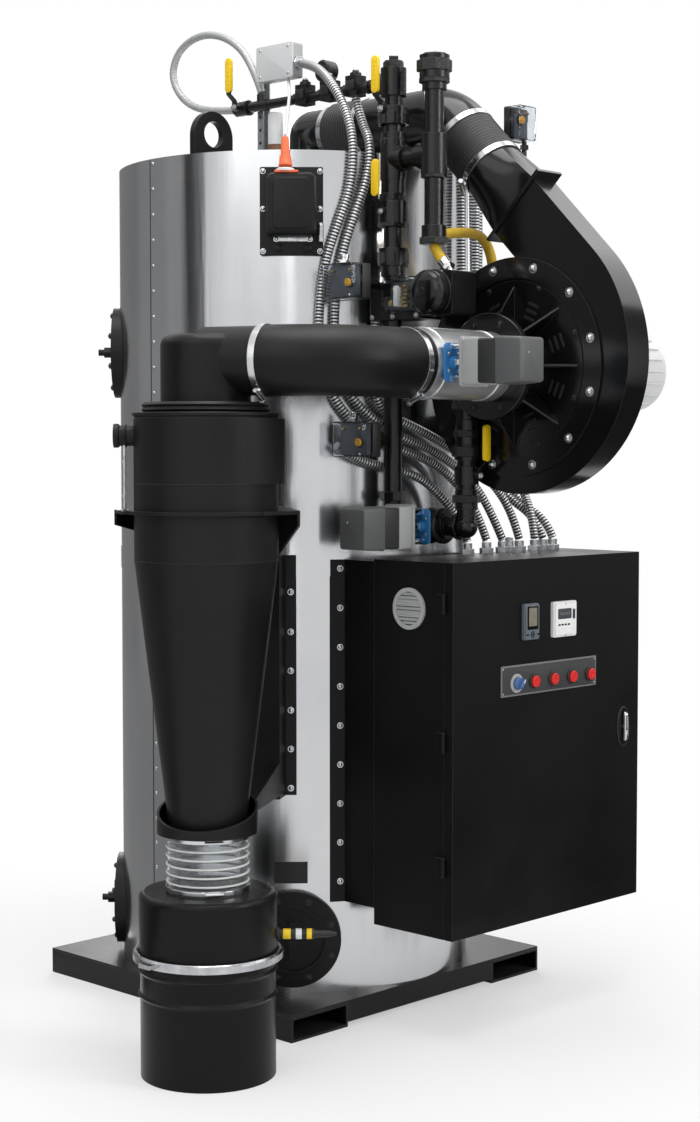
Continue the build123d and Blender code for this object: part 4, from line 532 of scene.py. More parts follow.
def makeGrooved(name, crest, groove, rough, metallic):
    # Corrugated tube: the stored value paints shade into the hollows with a dark colour, and roughens them
    material, tree, shader = newMaterial(name)
    stored = addNode(tree, "ShaderNodeAttribute", attribute_name="groove").outputs["Fac"]
    variation = useGroup(tree, variationGroup, patchScale=25.0, fineScale=400.0)
    sharp = mapRange(tree, stored, fromMin=0.25, fromMax=0.8)
    crestTone = tone(*crest)
    colour = mixColour(tree, variation["Patch"], crestTone, tuple(0.8 * c for c in crestTone[:3]) + (1.0,))
    fill(tree, shader, {"Metallic": metallic, "Base Color": mixColour(tree, sharp, tone(*groove), colour),
                        "Roughness": mapRange(tree, sharp, toMin=rough + 0.25, toMax=rough)})
    return material


jacketSteel = makeJacketSteel()
clearCover = makeClear("clearCover", (240, 243, 246), 0.0, 1.0, 1.2)
clearHose = makeClear("clearHose", (222, 224, 226), 0.03, 0.94, 1.3)
# The second colour of each grooved finish is painted shade in the hollows
conduitMetal = makeGrooved("conduitMetal", (226, 227, 228), (30, 30, 31), 0.3, 0.75)
braidMetal = makeGrooved("braidMetal", (198, 199, 200), (150, 151, 152), 0.4, 0.5)

# The finish of every solid that stays as it is
finishes = (
    (jacketSteel, "jacket_lower jacket_upper top_cover"), (insulationWool, "insulated_vessel"),
    (hoseRubber, "intake_hose"),
    (satinBlack, "lifting_lugs hand_holes cyclone_body cyclone_cap cyclone_support fan_bracket ignition_box"),
    (skidBlack, "skid_deck fork_tube_left fork_tube_right"),
    (enclosureBlack, "panel_body panel_door panel_brackets"), (ventPlastic, "panel_vent"),
    (panelGrey, "door_displays switch_strip"), (bluePlastic, "selector_knob"), (chrome, "door_handle"),
    (clearHose, "clear_hose"), (drumBlack, "drum drum_hood"), (switchBase, "level_sensor pressure_switches"),
    (bandSteel, "band_clamps"), (ductAluminium, "damper_duct"),
    (greyPaint, "damper_actuator gas_actuator junction_box"),
    (glossBlack, "fan_scroll fan_outlet fan_inlet top_duct burner_elbow"), (motorPaint, "fan_motor"),
    (ribRubber, "rubber_sleeves"),
    (ironBlack,
     "gas_riser gas_supply gas_valve_train gas_regulator gas_loop pilot_line riser_top_lever main_gas_lever"),
    (ironBlack, "pilot_gas_lever loop_gas_lever"), (bootRubber, "ignition_lead"), (galvanised, "top_strut"),
    (whitePlastic, "sight_pipe"), (zinc, "conduit_fittings drum_ring"), (conduitMetal, "conduits"),
    (yellowHose, "yellow_vent_hoses"), (braidMetal, "braided_pilot_hose"),
)
for finish, names in finishes:
    for name in names.split():
        nodes[name].data.materials.clear()
        nodes[name].data.materials.append(finish)
print("finishes assigned")


# Geometry node trees for what repeats or follows a path
def endTree(tree, geometry, finish, out):
    # Every tree ends in real geometry with its finish
    real = addNode(tree, "GeometryNodeRealizeInstances", {0: geometry}).outputs[0]
    finished = addNode(tree, "GeometryNodeSetMaterial", {"Geometry": real, "Material": finish}).outputs[0]
    feed(tree, finished, out.inputs[0])
    return tree


def makeTubeTree():
    # A round tube along a line, with rings every pitch, and the wave that places the painted shade of the hollows
    # stored
    tree, given, out = newTree("GeometryNodeTree", "corrugatedTube",
                               {"Geometry": "", "Radius": 0.01, "Pitch": 0.007, "Depth": 0.1, "Sides": 14,
                                "Finish": None}, {"Geometry": ""})
    line = addNode(tree, "GeometryNodeMeshToCurve", {0: given["Geometry"]}).outputs[0]
    length = mathNode(tree, "MULTIPLY", given["Pitch"], 0.25)
    even = addNode(tree, "GeometryNodeResampleCurve", {"Curve": line, "Length": length}, mode="LENGTH").outputs[0]
    along = addNode(tree, "GeometryNodeSplineParameter").outputs["Length"]
    turns = mathNode(tree, "MULTIPLY", mathNode(tree, "DIVIDE", along, given["Pitch"]), 2 * math.pi)
    wave = mathNode(tree, "SINE", turns)
    store = addNode(tree, "GeometryNodeStoreNamedAttribute", {"Name": "groove", "Geometry": even},
                    data_type="FLOAT", domain="POINT")
    feed(tree, mathNode(tree, "MULTIPLY_ADD", wave, 0.5, 0.5), store.inputs["Value"])
    circle = addNode(tree, "GeometryNodeCurvePrimitiveCircle",
                     {"Resolution": given["Sides"], "Radius": given["Radius"]}).outputs[0]
    grown = mathNode(tree, "MULTIPLY_ADD", wave, given["Depth"], 1.0)
    skinned = addNode(tree, "GeometryNodeCurveToMesh",
                      {"Fill Caps": True, "Curve": store.outputs[0], "Profile Curve": circle, "Scale": grown})
    return endTree(tree, skinned.outputs[0], given["Finish"], out)


def makeHardwareTree():
    # A head on a washer, with a stud through it, on every point, turned to its facing
    tree, g, out = newTree("GeometryNodeTree", "hardwareField", {
        "Geometry": "", "Head": 0.006, "Height": 0.005, "Shoulder": 1.0, "Split": 0.8, "Crown": 0.86,
        "Washer": 0.009, "Washer Height": 0.001, "Stud": 0.003, "Stud Length": 0.006, "Sides": 6, "Finish": None
    }, {"Geometry": ""})
    join = addNode(tree, "GeometryNodeJoinGeometry")

    def addDrum(sides, bottom, top, depth, lift=None):
        cone = addNode(tree, "GeometryNodeMeshCone",
                       {"Vertices": sides, "Radius Bottom": bottom, "Radius Top": top, "Depth": depth})
        made = cone.outputs["Mesh"]
        if lift is not None:
            offset = addNode(tree, "ShaderNodeCombineXYZ", {"Z": lift}).outputs[0]
            made = addNode(tree, "GeometryNodeTransform", {"Geometry": made, "Translation": offset}).outputs[0]
        feed(tree, made, join.inputs[0])

    shoulder = mathNode(tree, "MULTIPLY", g["Head"], g["Shoulder"])
    lower = mathNode(tree, "MULTIPLY", g["Height"], g["Split"])
    upper = mathNode(tree, "SUBTRACT", g["Height"], lower)
    crown = mathNode(tree, "MULTIPLY", g["Head"], g["Crown"])
    addDrum(16, g["Washer"], g["Washer"], g["Washer Height"])
    addDrum(g["Sides"], g["Head"], shoulder, lower, g["Washer Height"])
    addDrum(g["Sides"], shoulder, crown, upper, mathNode(tree, "ADD", lower, g["Washer Height"]))
    addDrum(10, g["Stud"], g["Stud"], g["Stud Length"])
    facing = addNode(tree, "GeometryNodeInputNamedAttribute", data_type="FLOAT_VECTOR")
    facing.inputs["Name"].default_value = "facing"
    turn = addNode(tree, "FunctionNodeAlignRotationToVector", {"Vector": facing.outputs[0]}, axis="Z").outputs[0]
    spread = addNode(tree, "GeometryNodeInstanceOnPoints",
                     {"Points": g["Geometry"], "Instance": join.outputs[0], "Rotation": turn})
    return endTree(tree, spread.outputs[0], g["Finish"], out)


tubeTree, hardwareTree = makeTubeTree(), makeHardwareTree()


def grow(name, base, tree, values):
    holder = bpy.data.objects.new(name + "Base", base)
    collection.objects.link(holder)
    modifier = holder.modifiers.new("grow", "NODES")
    modifier.node_group = tree
    for item in tree.interface.items_tree:
        if item.in_out == "INPUT" and item.name in values:
            modifier[item.identifier] = values[item.name]
    bpy.context.view_layer.update()
    mesh = bpy.data.meshes.new_from_object(holder.evaluated_get(bpy.context.evaluated_depsgraph_get()))
    mesh.name = name
    holder.modifiers.clear()
    bpy.data.objects.remove(holder)
    soften(mesh, 40)
    return mesh


domeHead = {"sides": 12, "split": 0.45, "shoulder": 0.86, "crown": 0.4}


def scatter(name, spots, finish, record="zinc", body="boiler", sides=6, split=0.8, shoulder=1.0, crown=0.86,
            head=6, height=5, washer=9, washerHeight=1.2, stud=3, studLength=4):
    # Spots are (place in mm, direction it faces)
    base = bpy.data.meshes.new(name + "Points")
    base.from_pydata([Vector(at) * mm for at, way in spots], [], [])
    facing = base.attributes.new("facing", "FLOAT_VECTOR", "POINT")
    for item, (at, way) in zip(facing.data, spots):
        item.vector = Vector(way).normalized()
    values = {"Finish": finish, "Sides": sides, "Split": split, "Shoulder": shoulder, "Crown": crown,
              "Head": head * mm, "Height": height * mm, "Washer": washer * mm, "Washer Height": washerHeight * mm,
              "Stud": stud * mm, "Stud Length": studLength * mm}
    return ridePiece(grow(name, base, hardwareTree, values), name, body)


def routeLine(name, points):
    # The smooth line of a cord: a NURBS spline on the route's points
    data = bpy.data.curves.new(name, "CURVE")
    data.dimensions = "3D"
    data.resolution_u = 12
    spline = data.splines.new("NURBS")
    spline.points.add(len(points) - 1)
    for point, where in zip(spline.points, points):
        point.co = (*(Vector(where) * mm), 1)
    spline.order_u = 3
    spline.use_endpoint_u = True
    holder = bpy.data.objects.new(name, data)
    collection.objects.link(holder)
    bpy.context.view_layer.update()
    line = bpy.data.meshes.new_from_object(holder.evaluated_get(bpy.context.evaluated_depsgraph_get()))
    bpy.data.objects.remove(holder)
    return line, [tuple(v.co) for v in line.vertices]


def growTube(name, line, sizes, finish, stands):
    values = {"Radius": sizes["radius"] * mm, "Pitch": sizes["pitch"] * mm, "Depth": sizes["depth"],
              "Sides": sizes["sides"], "Finish": finish}
    return ridePiece(grow(name, line, tubeTree, values), name, "boiler", stands)


def layCord(name, points, sizes, finish, node):
    line, path = routeLine(name + "Line", points)
    piece = growTube(name, line, sizes, finish, (node,))


# Cords: armoured conduits, yellow vent hoses, the braided pilot hose and the ignition lead
conduitSizes = {"radius": 11.2, "pitch": 8.4, "depth": 0.07, "sides": 14}
conduitRoutes = {
    "conduitJunction": ((-163, -186, 2486), (-176, -262, 2466), (-196, -330, 2420), (-204, -392, 2350),
                        (-222, -446, 2250), (-232, -446, 2130), (-264, -430, 2040), (-292, -412, 1945),
                        (-306, -404, 1830), (-306, -404, 1700), (-276, -428, 1590), (-210, -466, 1520),
                        (-110, -499, 1470), (0, -514, 1440), (90, -525, 1380), (148, -545, 1300),
                        (165, -560, 1229)),
    "conduitPilot": ((-158, -389, 2368), (-160, -412, 2308), (-180, -466, 2240), (-196, -466, 2150),
                     (-226, -450, 2060), (-254, -434, 1965), (-272, -426, 1850), (-272, -426, 1715),
                     (-246, -444, 1615), (-186, -473, 1548), (-100, -500, 1500), (10, -514, 1466),
                     (110, -518, 1415), (190, -535, 1340), (231, -560, 1229)),
    "conduitTrain": ((-186, -486, 1794), (-190, -484, 1710), (-188, -480, 1625), (-150, -484, 1562),
                     (-60, -505, 1528), (30, -514, 1492), (130, -518, 1448), (220, -530, 1385), (285, -546, 1305),
                     (301, -560, 1229)),
    "conduitLowSwitch": ((-300, -461, 1480), (-258, -462, 1456), (-200, -470, 1436), (-125, -489, 1422),
                         (-40, -512, 1398), (30, -530, 1340), (76, -552, 1275), (87, -560, 1229)),
    "conduitMotor": ((154, -472, 2215), (156, -475, 2080), (156, -474, 1940), (162, -484, 1855), (200, -560, 1802),
                     (240, -650, 1798), (250, -746, 1798)),
    "conduitRight": ((328, -384, 2215), (331, -388, 2080), (330, -387, 1940), (334, -388, 1800), (340, -384, 1660),
                     (350, -384, 1520), (380, -400, 1400), (420, -470, 1320), (440, -540, 1278), (445, -560, 1229)),
    "conduitRightInner": ((298, -404, 2215), (300, -402, 2080), (301, -400, 1940), (304, -396, 1800),
                          (309, -392, 1660), (322, -388, 1530), (344, -398, 1410), (376, -462, 1335),
                          (398, -535, 1285), (403, -560, 1229)),
    "conduitRightOuter": ((396, -308, 2215), (398, -310, 2000), (400, -314, 1850), (404, -320, 1700),
                          (412, -334, 1540), (418, -430, 1430), (396, -500, 1350), (374, -545, 1290),
                          (367, -560, 1229)),
}
for name, points in conduitRoutes.items():
    layCord(name, points, conduitSizes, conduitMetal, "conduits")

hoseSizes = {"radius": 13.0, "pitch": 16.0, "depth": 0.0, "sides": 20}
longRoute = ((-124.5, -659, 2006), (-50, -652, 2018), (40, -648, 2018), (92, -640, 1960), (112, -622, 1870),
             (118, -604, 1770), (120, -600, 1670), (120, -600, 1560))
layCord("yellowVentLong", longRoute, hoseSizes, yellowHose, "yellow_vent_hoses")
shortLine, shortPath = routeLine("yellowVentShortLine",
                                 ((-158, -660, 1975.75), (-158, -672, 1952), (-158, -695, 1929)))
growTube("yellowVentShort", shortLine, hoseSizes, yellowHose, ("yellow_vent_hoses",))
braidSizes = {"radius": 10.0, "pitch": 5.0, "depth": 0.03, "sides": 16}
braidRoute = ((-158, 68, 2392), (-158, 180, 2400), (-158, 280, 2440), (-158, 334, 2515), (-158, 300, 2588),
              (-158, 200, 2618), (-158, 90, 2590), (-158, 5, 2520), (-158, -38, 2426))
layCord("braidedPilotHose", braidRoute, braidSizes, braidMetal, "braided_pilot_hose")
leadSizes = {"radius": 4.0, "pitch": 12.0, "depth": 0.0, "sides": 12}
leadRoute = ((-356.3, -334.3, 2259), (-304, -286, 2300), (-240, -226, 2360), (-192, -182, 2408),
             (-166, -150, 2445.8))
layCord("ignitionLead", leadRoute, leadSizes, whitePlastic, "ignition_lead")
lathe(place((-375, -354, 2177), (18, 19, 78)),
      [(17, 0), (17.5, 4), (15.5, 8), (14.5, 26), (14.5, 27), (11.5, 29), (10.5, 60), (10, 70), (8.5, 80),
       (4.5, 82)])
finishPiece("ignitionBoot", [bootRubber], "rubber", "ignition_lead")
print("cords laid")

scatter("glandPlug", [((258, -560, 1225), up)], zinc, head=11, height=9, washer=12.5, stud=2, studLength=8)

# Yellow grips on the quarter-turn levers: hub and the way it looks
grip = {"from": 36, "to": 128, "half": 11.5, "thick": 9.0, "out": 28.5, "dimple": 4.6, "dimples": 7, "pitch": 11,
        "nut": 9.5}
levers = {
    "riserTop": ((-196, -521, 2322), left, "riser_top_lever_body"),
    "mainGas": ((-196, -521, 2067), left, "main_gas_lever_body"),
    "pilotGas": ((-184, 33, 2392), left, "pilot_gas_lever_body"),
    "loopGas": ((-49, -712, 1405), front, "loop_gas_lever_body"),
}
for name, (hub, outward, body) in levers.items():
    tall, wide, thick = grip["to"] - grip["from"], 2 * grip["half"], grip["thick"]
    middle = Vector(hub) + Vector(outward) * (grip["out"] - thick / 2) + Vector((0, 0, grip["from"] + tall / 2))
    box(place(middle, outward), (wide, tall, grip["half"] - 0.5, 6), 0, thick, 2.2)
    box(place(middle, outward), (wide - 5, tall - 5, grip["half"] - 3, 6), -2.0, 1.0)
    for k in range(grip["dimples"]):
        lift = Vector((0, 0, grip["pitch"] * (k - grip["dimples"] // 2)))
        lathe(place(middle + lift, outward),
              [(grip["dimple"], thick - 0.6), (grip["dimple"] - 1, thick + 0.5), (0, thick + 0.2)], 12)
    finishPiece(name + "Grip", [yellowGrip], "yellow", body=body)
for name, (hub, outward, body) in levers.items():
    spot = Vector(hub) + Vector(outward) * grip["nut"]
    scatter(name + "HubNut", [(spot, outward)], zinc, body=body, head=6.5, studLength=8)
print("levers dressed")

# Damper and gas valve actuators: blue coupling plate, posts, gearbox and motor cap
actuatorLight = coat("actuatorLight", (158, 159, 159), (150, 151, 152), rough=0.38, edgeTone=(205,), dust=0.1)
actuatorDark = coat("actuatorDark", (44, 45, 46), (38, 39, 40), edgeTone=(120,), dust=0.1)
actuatorCap = coat("actuatorCap", (84, 85, 86), (78, 79, 80), edgeTone=(170,), dust=0.15)
actuator = {"wide": 98, "tall": 116, "plate": 8, "light": 52, "dark": 108, "end": 178, "post": 9, "postOut": 36,
            "bolt": (16, 20)}


def shift(at, x, y, z=0):
    return at @ Matrix.Translation((x, y, z))


def buildActuator(name, base, outward, gap, node):
    # Base is the foot of the posts on the valve, gap the length up to the gearbox plate
    at = place(base, outward)
    body = shift(at, 0, 0, gap)
    wide, tall, plate, light, dark, end = (actuator[key]
                                           for key in ("wide", "tall", "plate", "light", "dark", "end"))
    box(at, (56, 92, 12), 0, 6, 1.2, slot=3)
    for side in (-1, 1):
        out = side * actuator["postOut"]
        bar(local(at, 0, out, 2), local(at, 0, out, gap), actuator["post"], 16, 4)
        for k in (-1, 1):
            boltX, boltY = actuator["bolt"]
            lathe(shift(at, k * boltX, side * boltY, 6), [(3.4, 0), (3.4, 2.4), (2.4, 3), (0, 3)], 10, 4)
    box(at, (15, 15, 2), 0, gap, slot=4)
    lathe(at, [(14, 4), (14, 16), (10, 18), (0, 18)], 24, 3)
    lathe(at, [(12, gap - 20), (12, gap), (0, gap)], 24, 4)
    box(body, (wide, tall, 9), 0, plate, 1.5)
    box(body, (wide - 8, tall - 8, 7), plate - 1, light, 0.8)
    box(body, (wide - 12, tall - 14, 6), light - 1, dark, 0.8, slot=1)
    box(body, (wide - 5, tall - 6, 8), dark - 1, end, 7.0, 0.93, 2)
    box(body, (wide - 60, 10, 3), light + 6, dark - 6, slot=1)
    finishPiece(name, [actuatorLight, actuatorDark, actuatorCap, couplingBlue, chrome], "grey_metal", node)
    corners = [(local(body, x * (wide / 2 - 9), y * (tall / 2 - 9), plate - 0.5), outward) for x in (-1, 1)
               for y in (-1, 1)]
    scatter(name + "Screws", corners, zinc, **domeHead, head=4.4, height=3.2, washer=5.4, stud=2)
    scatter(name + "EndScrew", [(local(body, -14, 16, end - 0.5), outward)], zinc, **domeHead, head=2.6, height=1.6,
            washer=3.0, washerHeight=0.5, stud=1, studLength=1)


buildActuator("damperActuator", (-343, -880, 1674.5), front, 66, "damper_actuator")
buildActuator("gasActuator", (-105, -575, 1275), left, 82, "gas_actuator")
# The gas butterfly valve that stands with the gas actuator
butterfly = [(40, 0), (46, 3), (46, 12), (40, 14), (40, 42), (46, 44), (46, 53), (40, 56)]
lathe(place((-49, -547, 1275), front), butterfly, 40)
box(place((-49, -575, 1275), left), (44, 60, 6), 20, 56, 1.5)
lathe(place((-3, -575, 1275), left), [(18, 0), (18, 10)])
finishPiece("gasButterflyBody", [ironBlack], "black_iron", "gas_actuator")
print("actuators dressed")

# Pressure switches: black base, clear cover, a yellow dial and the parts seen inside
switchInside = coat("switchInside", (50, 53, 60), (70, 74, 82), rough=0.5, patch=45.0, bump=0.2, dust=0.0)
# Middle of the back, facing, width, height, depth, depth of the cover and place of the dial
switches = {
    "highGasSwitch": ((-282, -508, 1886), left, 104, 88, 68, 40, (22, -4)),
    "lowGasSwitch": ((-268, -530, 1496), left, 104, 88, 68, 40, (22, -8)),
    "airSwitch": ((138, -664, 2304), front, 68, 88, 52, 34, (-6, 8)),
}


def buildCover(name, at, outer, outerSpan, outerEdge, inner, innerSpan, innerEdge):
    # A clear shell of two skins, the inner one looking inwards
    box(at, outer, *outerSpan, outerEdge)
    box(at, inner, *innerSpan, innerEdge)
    cover = finishPiece(name, [clearCover], "clear_plastic", "pressure_switches")
    half = len(cover.data.polygons) // 2
    for face in cover.data.polygons[half:]:
        face.flip()


for name, (centre, facing, wide, tall, depth, cover, dial) in switches.items():
    at, base = place(centre, facing), depth - cover
    box(at, (wide, tall, 5), 0, base, 1.2)
    box(at, (wide - 14, tall - 12, 4), base - 1, base + cover * 0.35, 1.0, slot=1)
    dialAt = shift(at, *dial, base + cover * 0.35)
    lathe(dialAt, [(14, 0), (14, 4), (11.5, 5), (0, 5)], 28)
    lathe(dialAt, [(9.5, 5), (9.5, 10), (7.5, 12), (0, 12)], 24, 2)
    for k in range(5):
        lathe(shift(dialAt, *(wayTo(72 * k) * 5.5).xy, 12), [(1.4, 0), (1.2, 0.8), (0, 0.8)], 8)
    for k in (-1, 1):
        pin = (k * wide * 0.28, tall * 0.3)
        bar(local(at, *pin, base), local(at, *pin, base + cover * 0.6), 3.4, 10, 3)
    finishPiece(name, [switchBase, switchInside, dialYellow, brass], "grey_plastic", "pressure_switches")
    buildCover(name + "Cover", at, (wide, tall, 7), (base, depth), 3.0, (wide - 5, tall - 5, 5),
               (base + 0.2, depth - 2.4), 2.0)
    corners = [(local(at, k * (wide / 2 - 7), -k * (tall / 2 - 7), depth - 0.6), facing) for k in (-1, 1)]
    scatter(name + "Screws", corners, zinc, **domeHead, head=3.0, height=2.0, washer=3.4, stud=1, studLength=1)

# Nipples that carry the three switches
for start, end, radius, sides in (
    ((-284, -508, 1886), (-203, -508, 1886), 13, 20), ((-270, -521, 1496), (-183, -521, 1496), 13, 20),
    ((155, -690, 2262), (155, -690, 2222), 6.5, 16), ((157, -690, 2229), (122, -690, 2229), 6.5, 16),
):
    bar(start, end, radius, sides)
for foot, way, across, tall in (((-270, -508, 1886), (1, 0, 0), 17, 18), ((-222, -521, 1496), (1, 0, 0), 19, 20),
                                ((155, -690, 2240), up, 11, 12)):
    lathe(place(foot, way), [(across, 0), (across, tall)], 6)
finishPiece("switchNipples", [ironBlack], "black_iron", "pressure_switches")

# Proof-of-closure switch on the valve train: a rounded clear cover with brass parts
closureAt = place((-202, -602, 1853), left)
box(closureAt, (94, 82, 6), 0, 6, 1.0)
box(closureAt, (74, 62, 6), 6, 14, 1.0, slot=1)
box(place((-208, -598, 1850), left), (13, 50, 3), 6, 26, 1.5, slot=3)
for k in range(6):
    box(place((-210, -622 + 3 * (k % 2), 1826 + 9.5 * k), left), (20, 6, 1.5), 4, 16 + 3 * (k % 3), 0.8, slot=2)
bar((-212, -574, 1834), (-226, -574, 1834), 7, 16, 2)
bar((-212, -574, 1866), (-222, -574, 1866), 5, 16, 2)
finishPiece("closureSwitch", [switchBase, switchInside, brass, whitePlastic], "grey_plastic", "pressure_switches")
buildCover("closureSwitchCover", closureAt, (96, 84, 16, 6), (5, 40), 9.0, (91, 79, 14, 6), (5.2, 37.4), 8.0)
print("switches dressed")

# Door: two controllers, the switch strip with its red buttons, and the selector knob
controllerGrey = coat("controllerGrey", (96, 104, 112), (86, 94, 102), bump=0.1, edgeTone=(160, 168, 176), dust=0.0)
blackGlass = coat("displayGlass", (14, 15, 17), (18, 19, 21), rough=0.12, spread=0.03, patch=20.0, bump=0.02,
                  worn=0.1, dust=0.0)
paleDisplay = coat("paleDisplay", (128, 124, 108), (112, 110, 98), rough=0.2, patch=60.0, fine=1200.0, bump=0.1,
                   worn=0.0, dust=0.0)
darkDisplay = coat("darkDisplay", (66, 72, 76), (56, 62, 66), rough=0.2, patch=60.0, bump=0.05, worn=0.0, dust=0.0)
stripFace = coat("stripFace", (66, 67, 68), (58, 59, 60), rough=0.36, specular=0.3, fine=900.0, bump=0.08, worn=0.1,
                 dust=0.0)
doorFace = -793


def onDoor(x, z, out=0):
    return place((x, doorFace - out, z), front)


# Middle, outline, nearest and farthest height over the door, chamfer and finish
controllerBoxes = [
    ((57, 1035), (58, 92, 4), 0, 9, 1.0, 0), ((57, 1035), (54, 88, 4), 8, 13, 2.0, 0),
    ((57, 1045), (44, 60, 3), 12, 13.6, 0.6, 1), ((57, 1047), (32, 46, 2), 13, 14.0, 0.3, 2),
    ((36, 1003, 12), (9, 5, 2), 0, 1.8, 0.4, 1), ((78, 1003, 12), (9, 5, 2), 0, 1.8, 0.4, 1),
    ((193, 1034), (96, 92, 6), 0, 10, 1.5, 3), ((193, 1034), (88, 84, 6), 9, 13.4, 2.0, 3),
    ((187, 1048), (56, 27, 3), 12.6, 13.8, 0.4, 4), ((225, 1046), (11, 26, 3), 12.6, 14.0, 0.5, 4),
    ((189, 1000), (66, 12, 3), 12.6, 13.7, 0.3, 3),
]
# Characters on the display are plain bars, with four keys below
controllerBoxes += [((170 + 7 * k, 1048), (2.6, 7 + 2 * (k % 2), 0.8), 13.2, 14.0, 0.2, 2) for k in range(6)]
controllerBoxes += [((165 + 13 * k, 1020), (9, 5, 2), 12.6, 14.0, 0.4, 1) for k in range(4)]
for middle, outline, low, high, edge, slot in controllerBoxes:
    box(onDoor(*middle), outline, low, high, edge, slot=slot)
lathe(onDoor(57, 1003, 12), [(8.5, 0), (8.5, 1.2), (7.5, 2), (0, 2)], 28, 1)
for k in range(4):
    way = wayTo(45 + 90 * k) * 5
    lathe(onDoor(57 + way.x, 1003 + way.y, 13.2), [(1.7, 0), (1.4, 1.0), (0, 1.0)], 10)
finishPiece("doorControllers", [controllerGrey, blackGlass, paleDisplay, whitePlastic, darkDisplay], "grey_plastic",
            "door_displays", body="door")
scatter("controllerScrews", [((191, -806, 1073), front), ((191, -806, 992), front), ((57, -805.5, 1076), front)],
        zinc, body="door", **domeHead, head=1.8, height=1.2, washer=2.4, washerHeight=0.4, stud=0.6, studLength=1)

box(onDoor(141, 889), (390, 78, 3), 0, 2, 0.5)
box(onDoor(141, 889), (382, 70, 3), 1.8, 2.3, 0.3, slot=1)
lathe(onDoor(6, 882), [(24, 2), (24, 4.4), (20.5, 5.6), (17, 5.0), (0, 5.0)], 40, 3)
for k in range(4):
    at = onDoor(74 + 77.4 * k, 882)
    lathe(at, [(19.5, 2), (19.5, 6), (18, 8), (15.6, 8.4), (15.6, 6), (0, 6)], 36, 2)
    lathe(at, [(15, 5.8), (15, 12.4), (13.4, 14.0), (9.0, 14.6), (6.0, 14.2), (0, 14.0)], 32, 4)
finishPiece("switchStripDressed", [panelGrey, stripFace, switchBase, greyPaint, redPlastic], "grey_plastic",
            "switch_strip", body="door")
scatter("stripScrews", [((x, -795, z), front) for x in (-46, 328) for z in (858, 920)], zinc, body="door",
        **domeHead, head=2.2, height=1.4, washer=2.8, washerHeight=0.4, stud=0.8, studLength=1)

knobAt = onDoor(6, 882, 5.2)
lathe(knobAt, [(15.4, 0), (16, 1), (16, 5), (14.6, 8), (13.6, 9)], 36)
handleTurn = knobAt @ Matrix.Rotation(math.radians(-38), 4, "Z")
box(handleTurn, (11, 30, 4), 8, 21, 2.5, 0.9)
box(shift(handleTurn, 0, 8), (2.2, 11, 1), 20.4, 21.3, slot=1)
finishPiece("selectorKnobDressed", [bluePlastic, whitePlastic], "grey_plastic", "selector_knob", body="knob")

# Lock plug beside the paddle, the lip of the handle recess, the vent's slats and the paddle
lathe(onDoor(476, 724), [(6.5, 2.6), (6.5, 5), (5.5, 6), (0, 6)])
box(onDoor(476, 724), (1.6, 6, 0.6), 5.8, 6.4, slot=1)
finishPiece("doorLock", [switchBase, zinc], "grey_metal", body="door")
sweep(onDoor(458, 727), [(27.5, 0.0), (27.5, 2.4), (25.0, 3.9), (24.4, 2.8)], 0, 360, 56, 26.5, False)
finishPiece("handleRecessLip", [switchBase], "black_paint", body="door")
vent = {"radius": 43, "reach": 42.5, "pitch": 9.0, "lean": -18}
ventAt = place((-235, -651, 1077), left)
# A dark disc behind the slats paints the shade between them
lathe(ventAt, [(vent["radius"], 0), (vent["radius"], 1.0), (0, 1.0)], 48, 1)
for k in range(-4, 5):
    chord = 2 * math.sqrt(vent["reach"] ** 2 - (vent["pitch"] * k) ** 2)
    box(shift(ventAt, 0, vent["pitch"] * k, 1.0) @ Matrix.Rotation(math.radians(vent["lean"]), 4, "X"),
        (chord, 7.2, 1.5), 0, 3.2, 0.8)
finishPiece("ventLouvres", [ventPlastic, switchBase], "grey_plastic")
paddleAt = onDoor(459, 727)
lathe(onDoor(458, 727), [(6, 3.4), (6, 8.5)])
box(paddleAt, (14, 80, 6.5, 6), 7.6, 15, 3.0, 0.94)
box(shift(paddleAt, 0, -22), (9, 24, 4, 6), 14.4, 16.4, 1.2)
lathe(shift(paddleAt, 0, 30), [(4, 14), (4, 16), (3, 16.8), (0, 16.8)], 20)
finishPiece("doorPaddle", [chrome], "zinc", "door_handle", body="handle")
print("door dressed")

# Ignition transformer box, from the middle of its back plate
boxAt = onJacket(225, 480, 2070)
box(boxAt, (160, 222, 5), 0, 5, 1.0)
box(shift(boxAt, 0, 14.5), (134, 166, 16), 4, 12, 1.0)
box(shift(boxAt, 0, 14.5), (128, 160, 16, 6), 10, 58, 12.0, 0.96)
box(shift(boxAt, 0, 14.5), (94, 128, 12, 6), 56, 62, 3.0)
box(shift(boxAt, 4, -70), (100, 13, 3), 4, 12, 1.5, slot=1)
box(shift(boxAt, -12, 94), (60, 6, 2), 8, 54, 1.0, slot=2)
for x in (-32, 40):
    lathe(shift(boxAt, x, -93, 5), [(11, 0), (11, 3), (8, 5), (0, 5.5)])
box(shift(boxAt, 74, -50), (10, 40, 3), 4, 22, 1.5, slot=1)
bar(local(boxAt, 74, -78, 16), local(boxAt, 74, -34, 16), 7, 16, 1)
finishPiece("ignitionBoxDressed", [satinBlack, zinc, bootRubber], "black_paint", "ignition_box")
screws = [(x, y, 5) for x in (-72, 72) for y in (100, 6, -100)] + [(x, -70, 12) for x in (-38, 46)]
scatter("ignitionBoxScrews", [(local(boxAt, *spot), wayTo(225)) for spot in screws], zinc,
        **domeHead, head=5.2, height=3.6, washer=7.5, stud=2, studLength=2)
lathe(place((-375, -354, 2165), (0.02, 0.02, 1)), [(24, 0), (24, 5), (20, 8), (0, 8)], 32)
finishPiece("bootGrommet", [whitePlastic], "rubber")

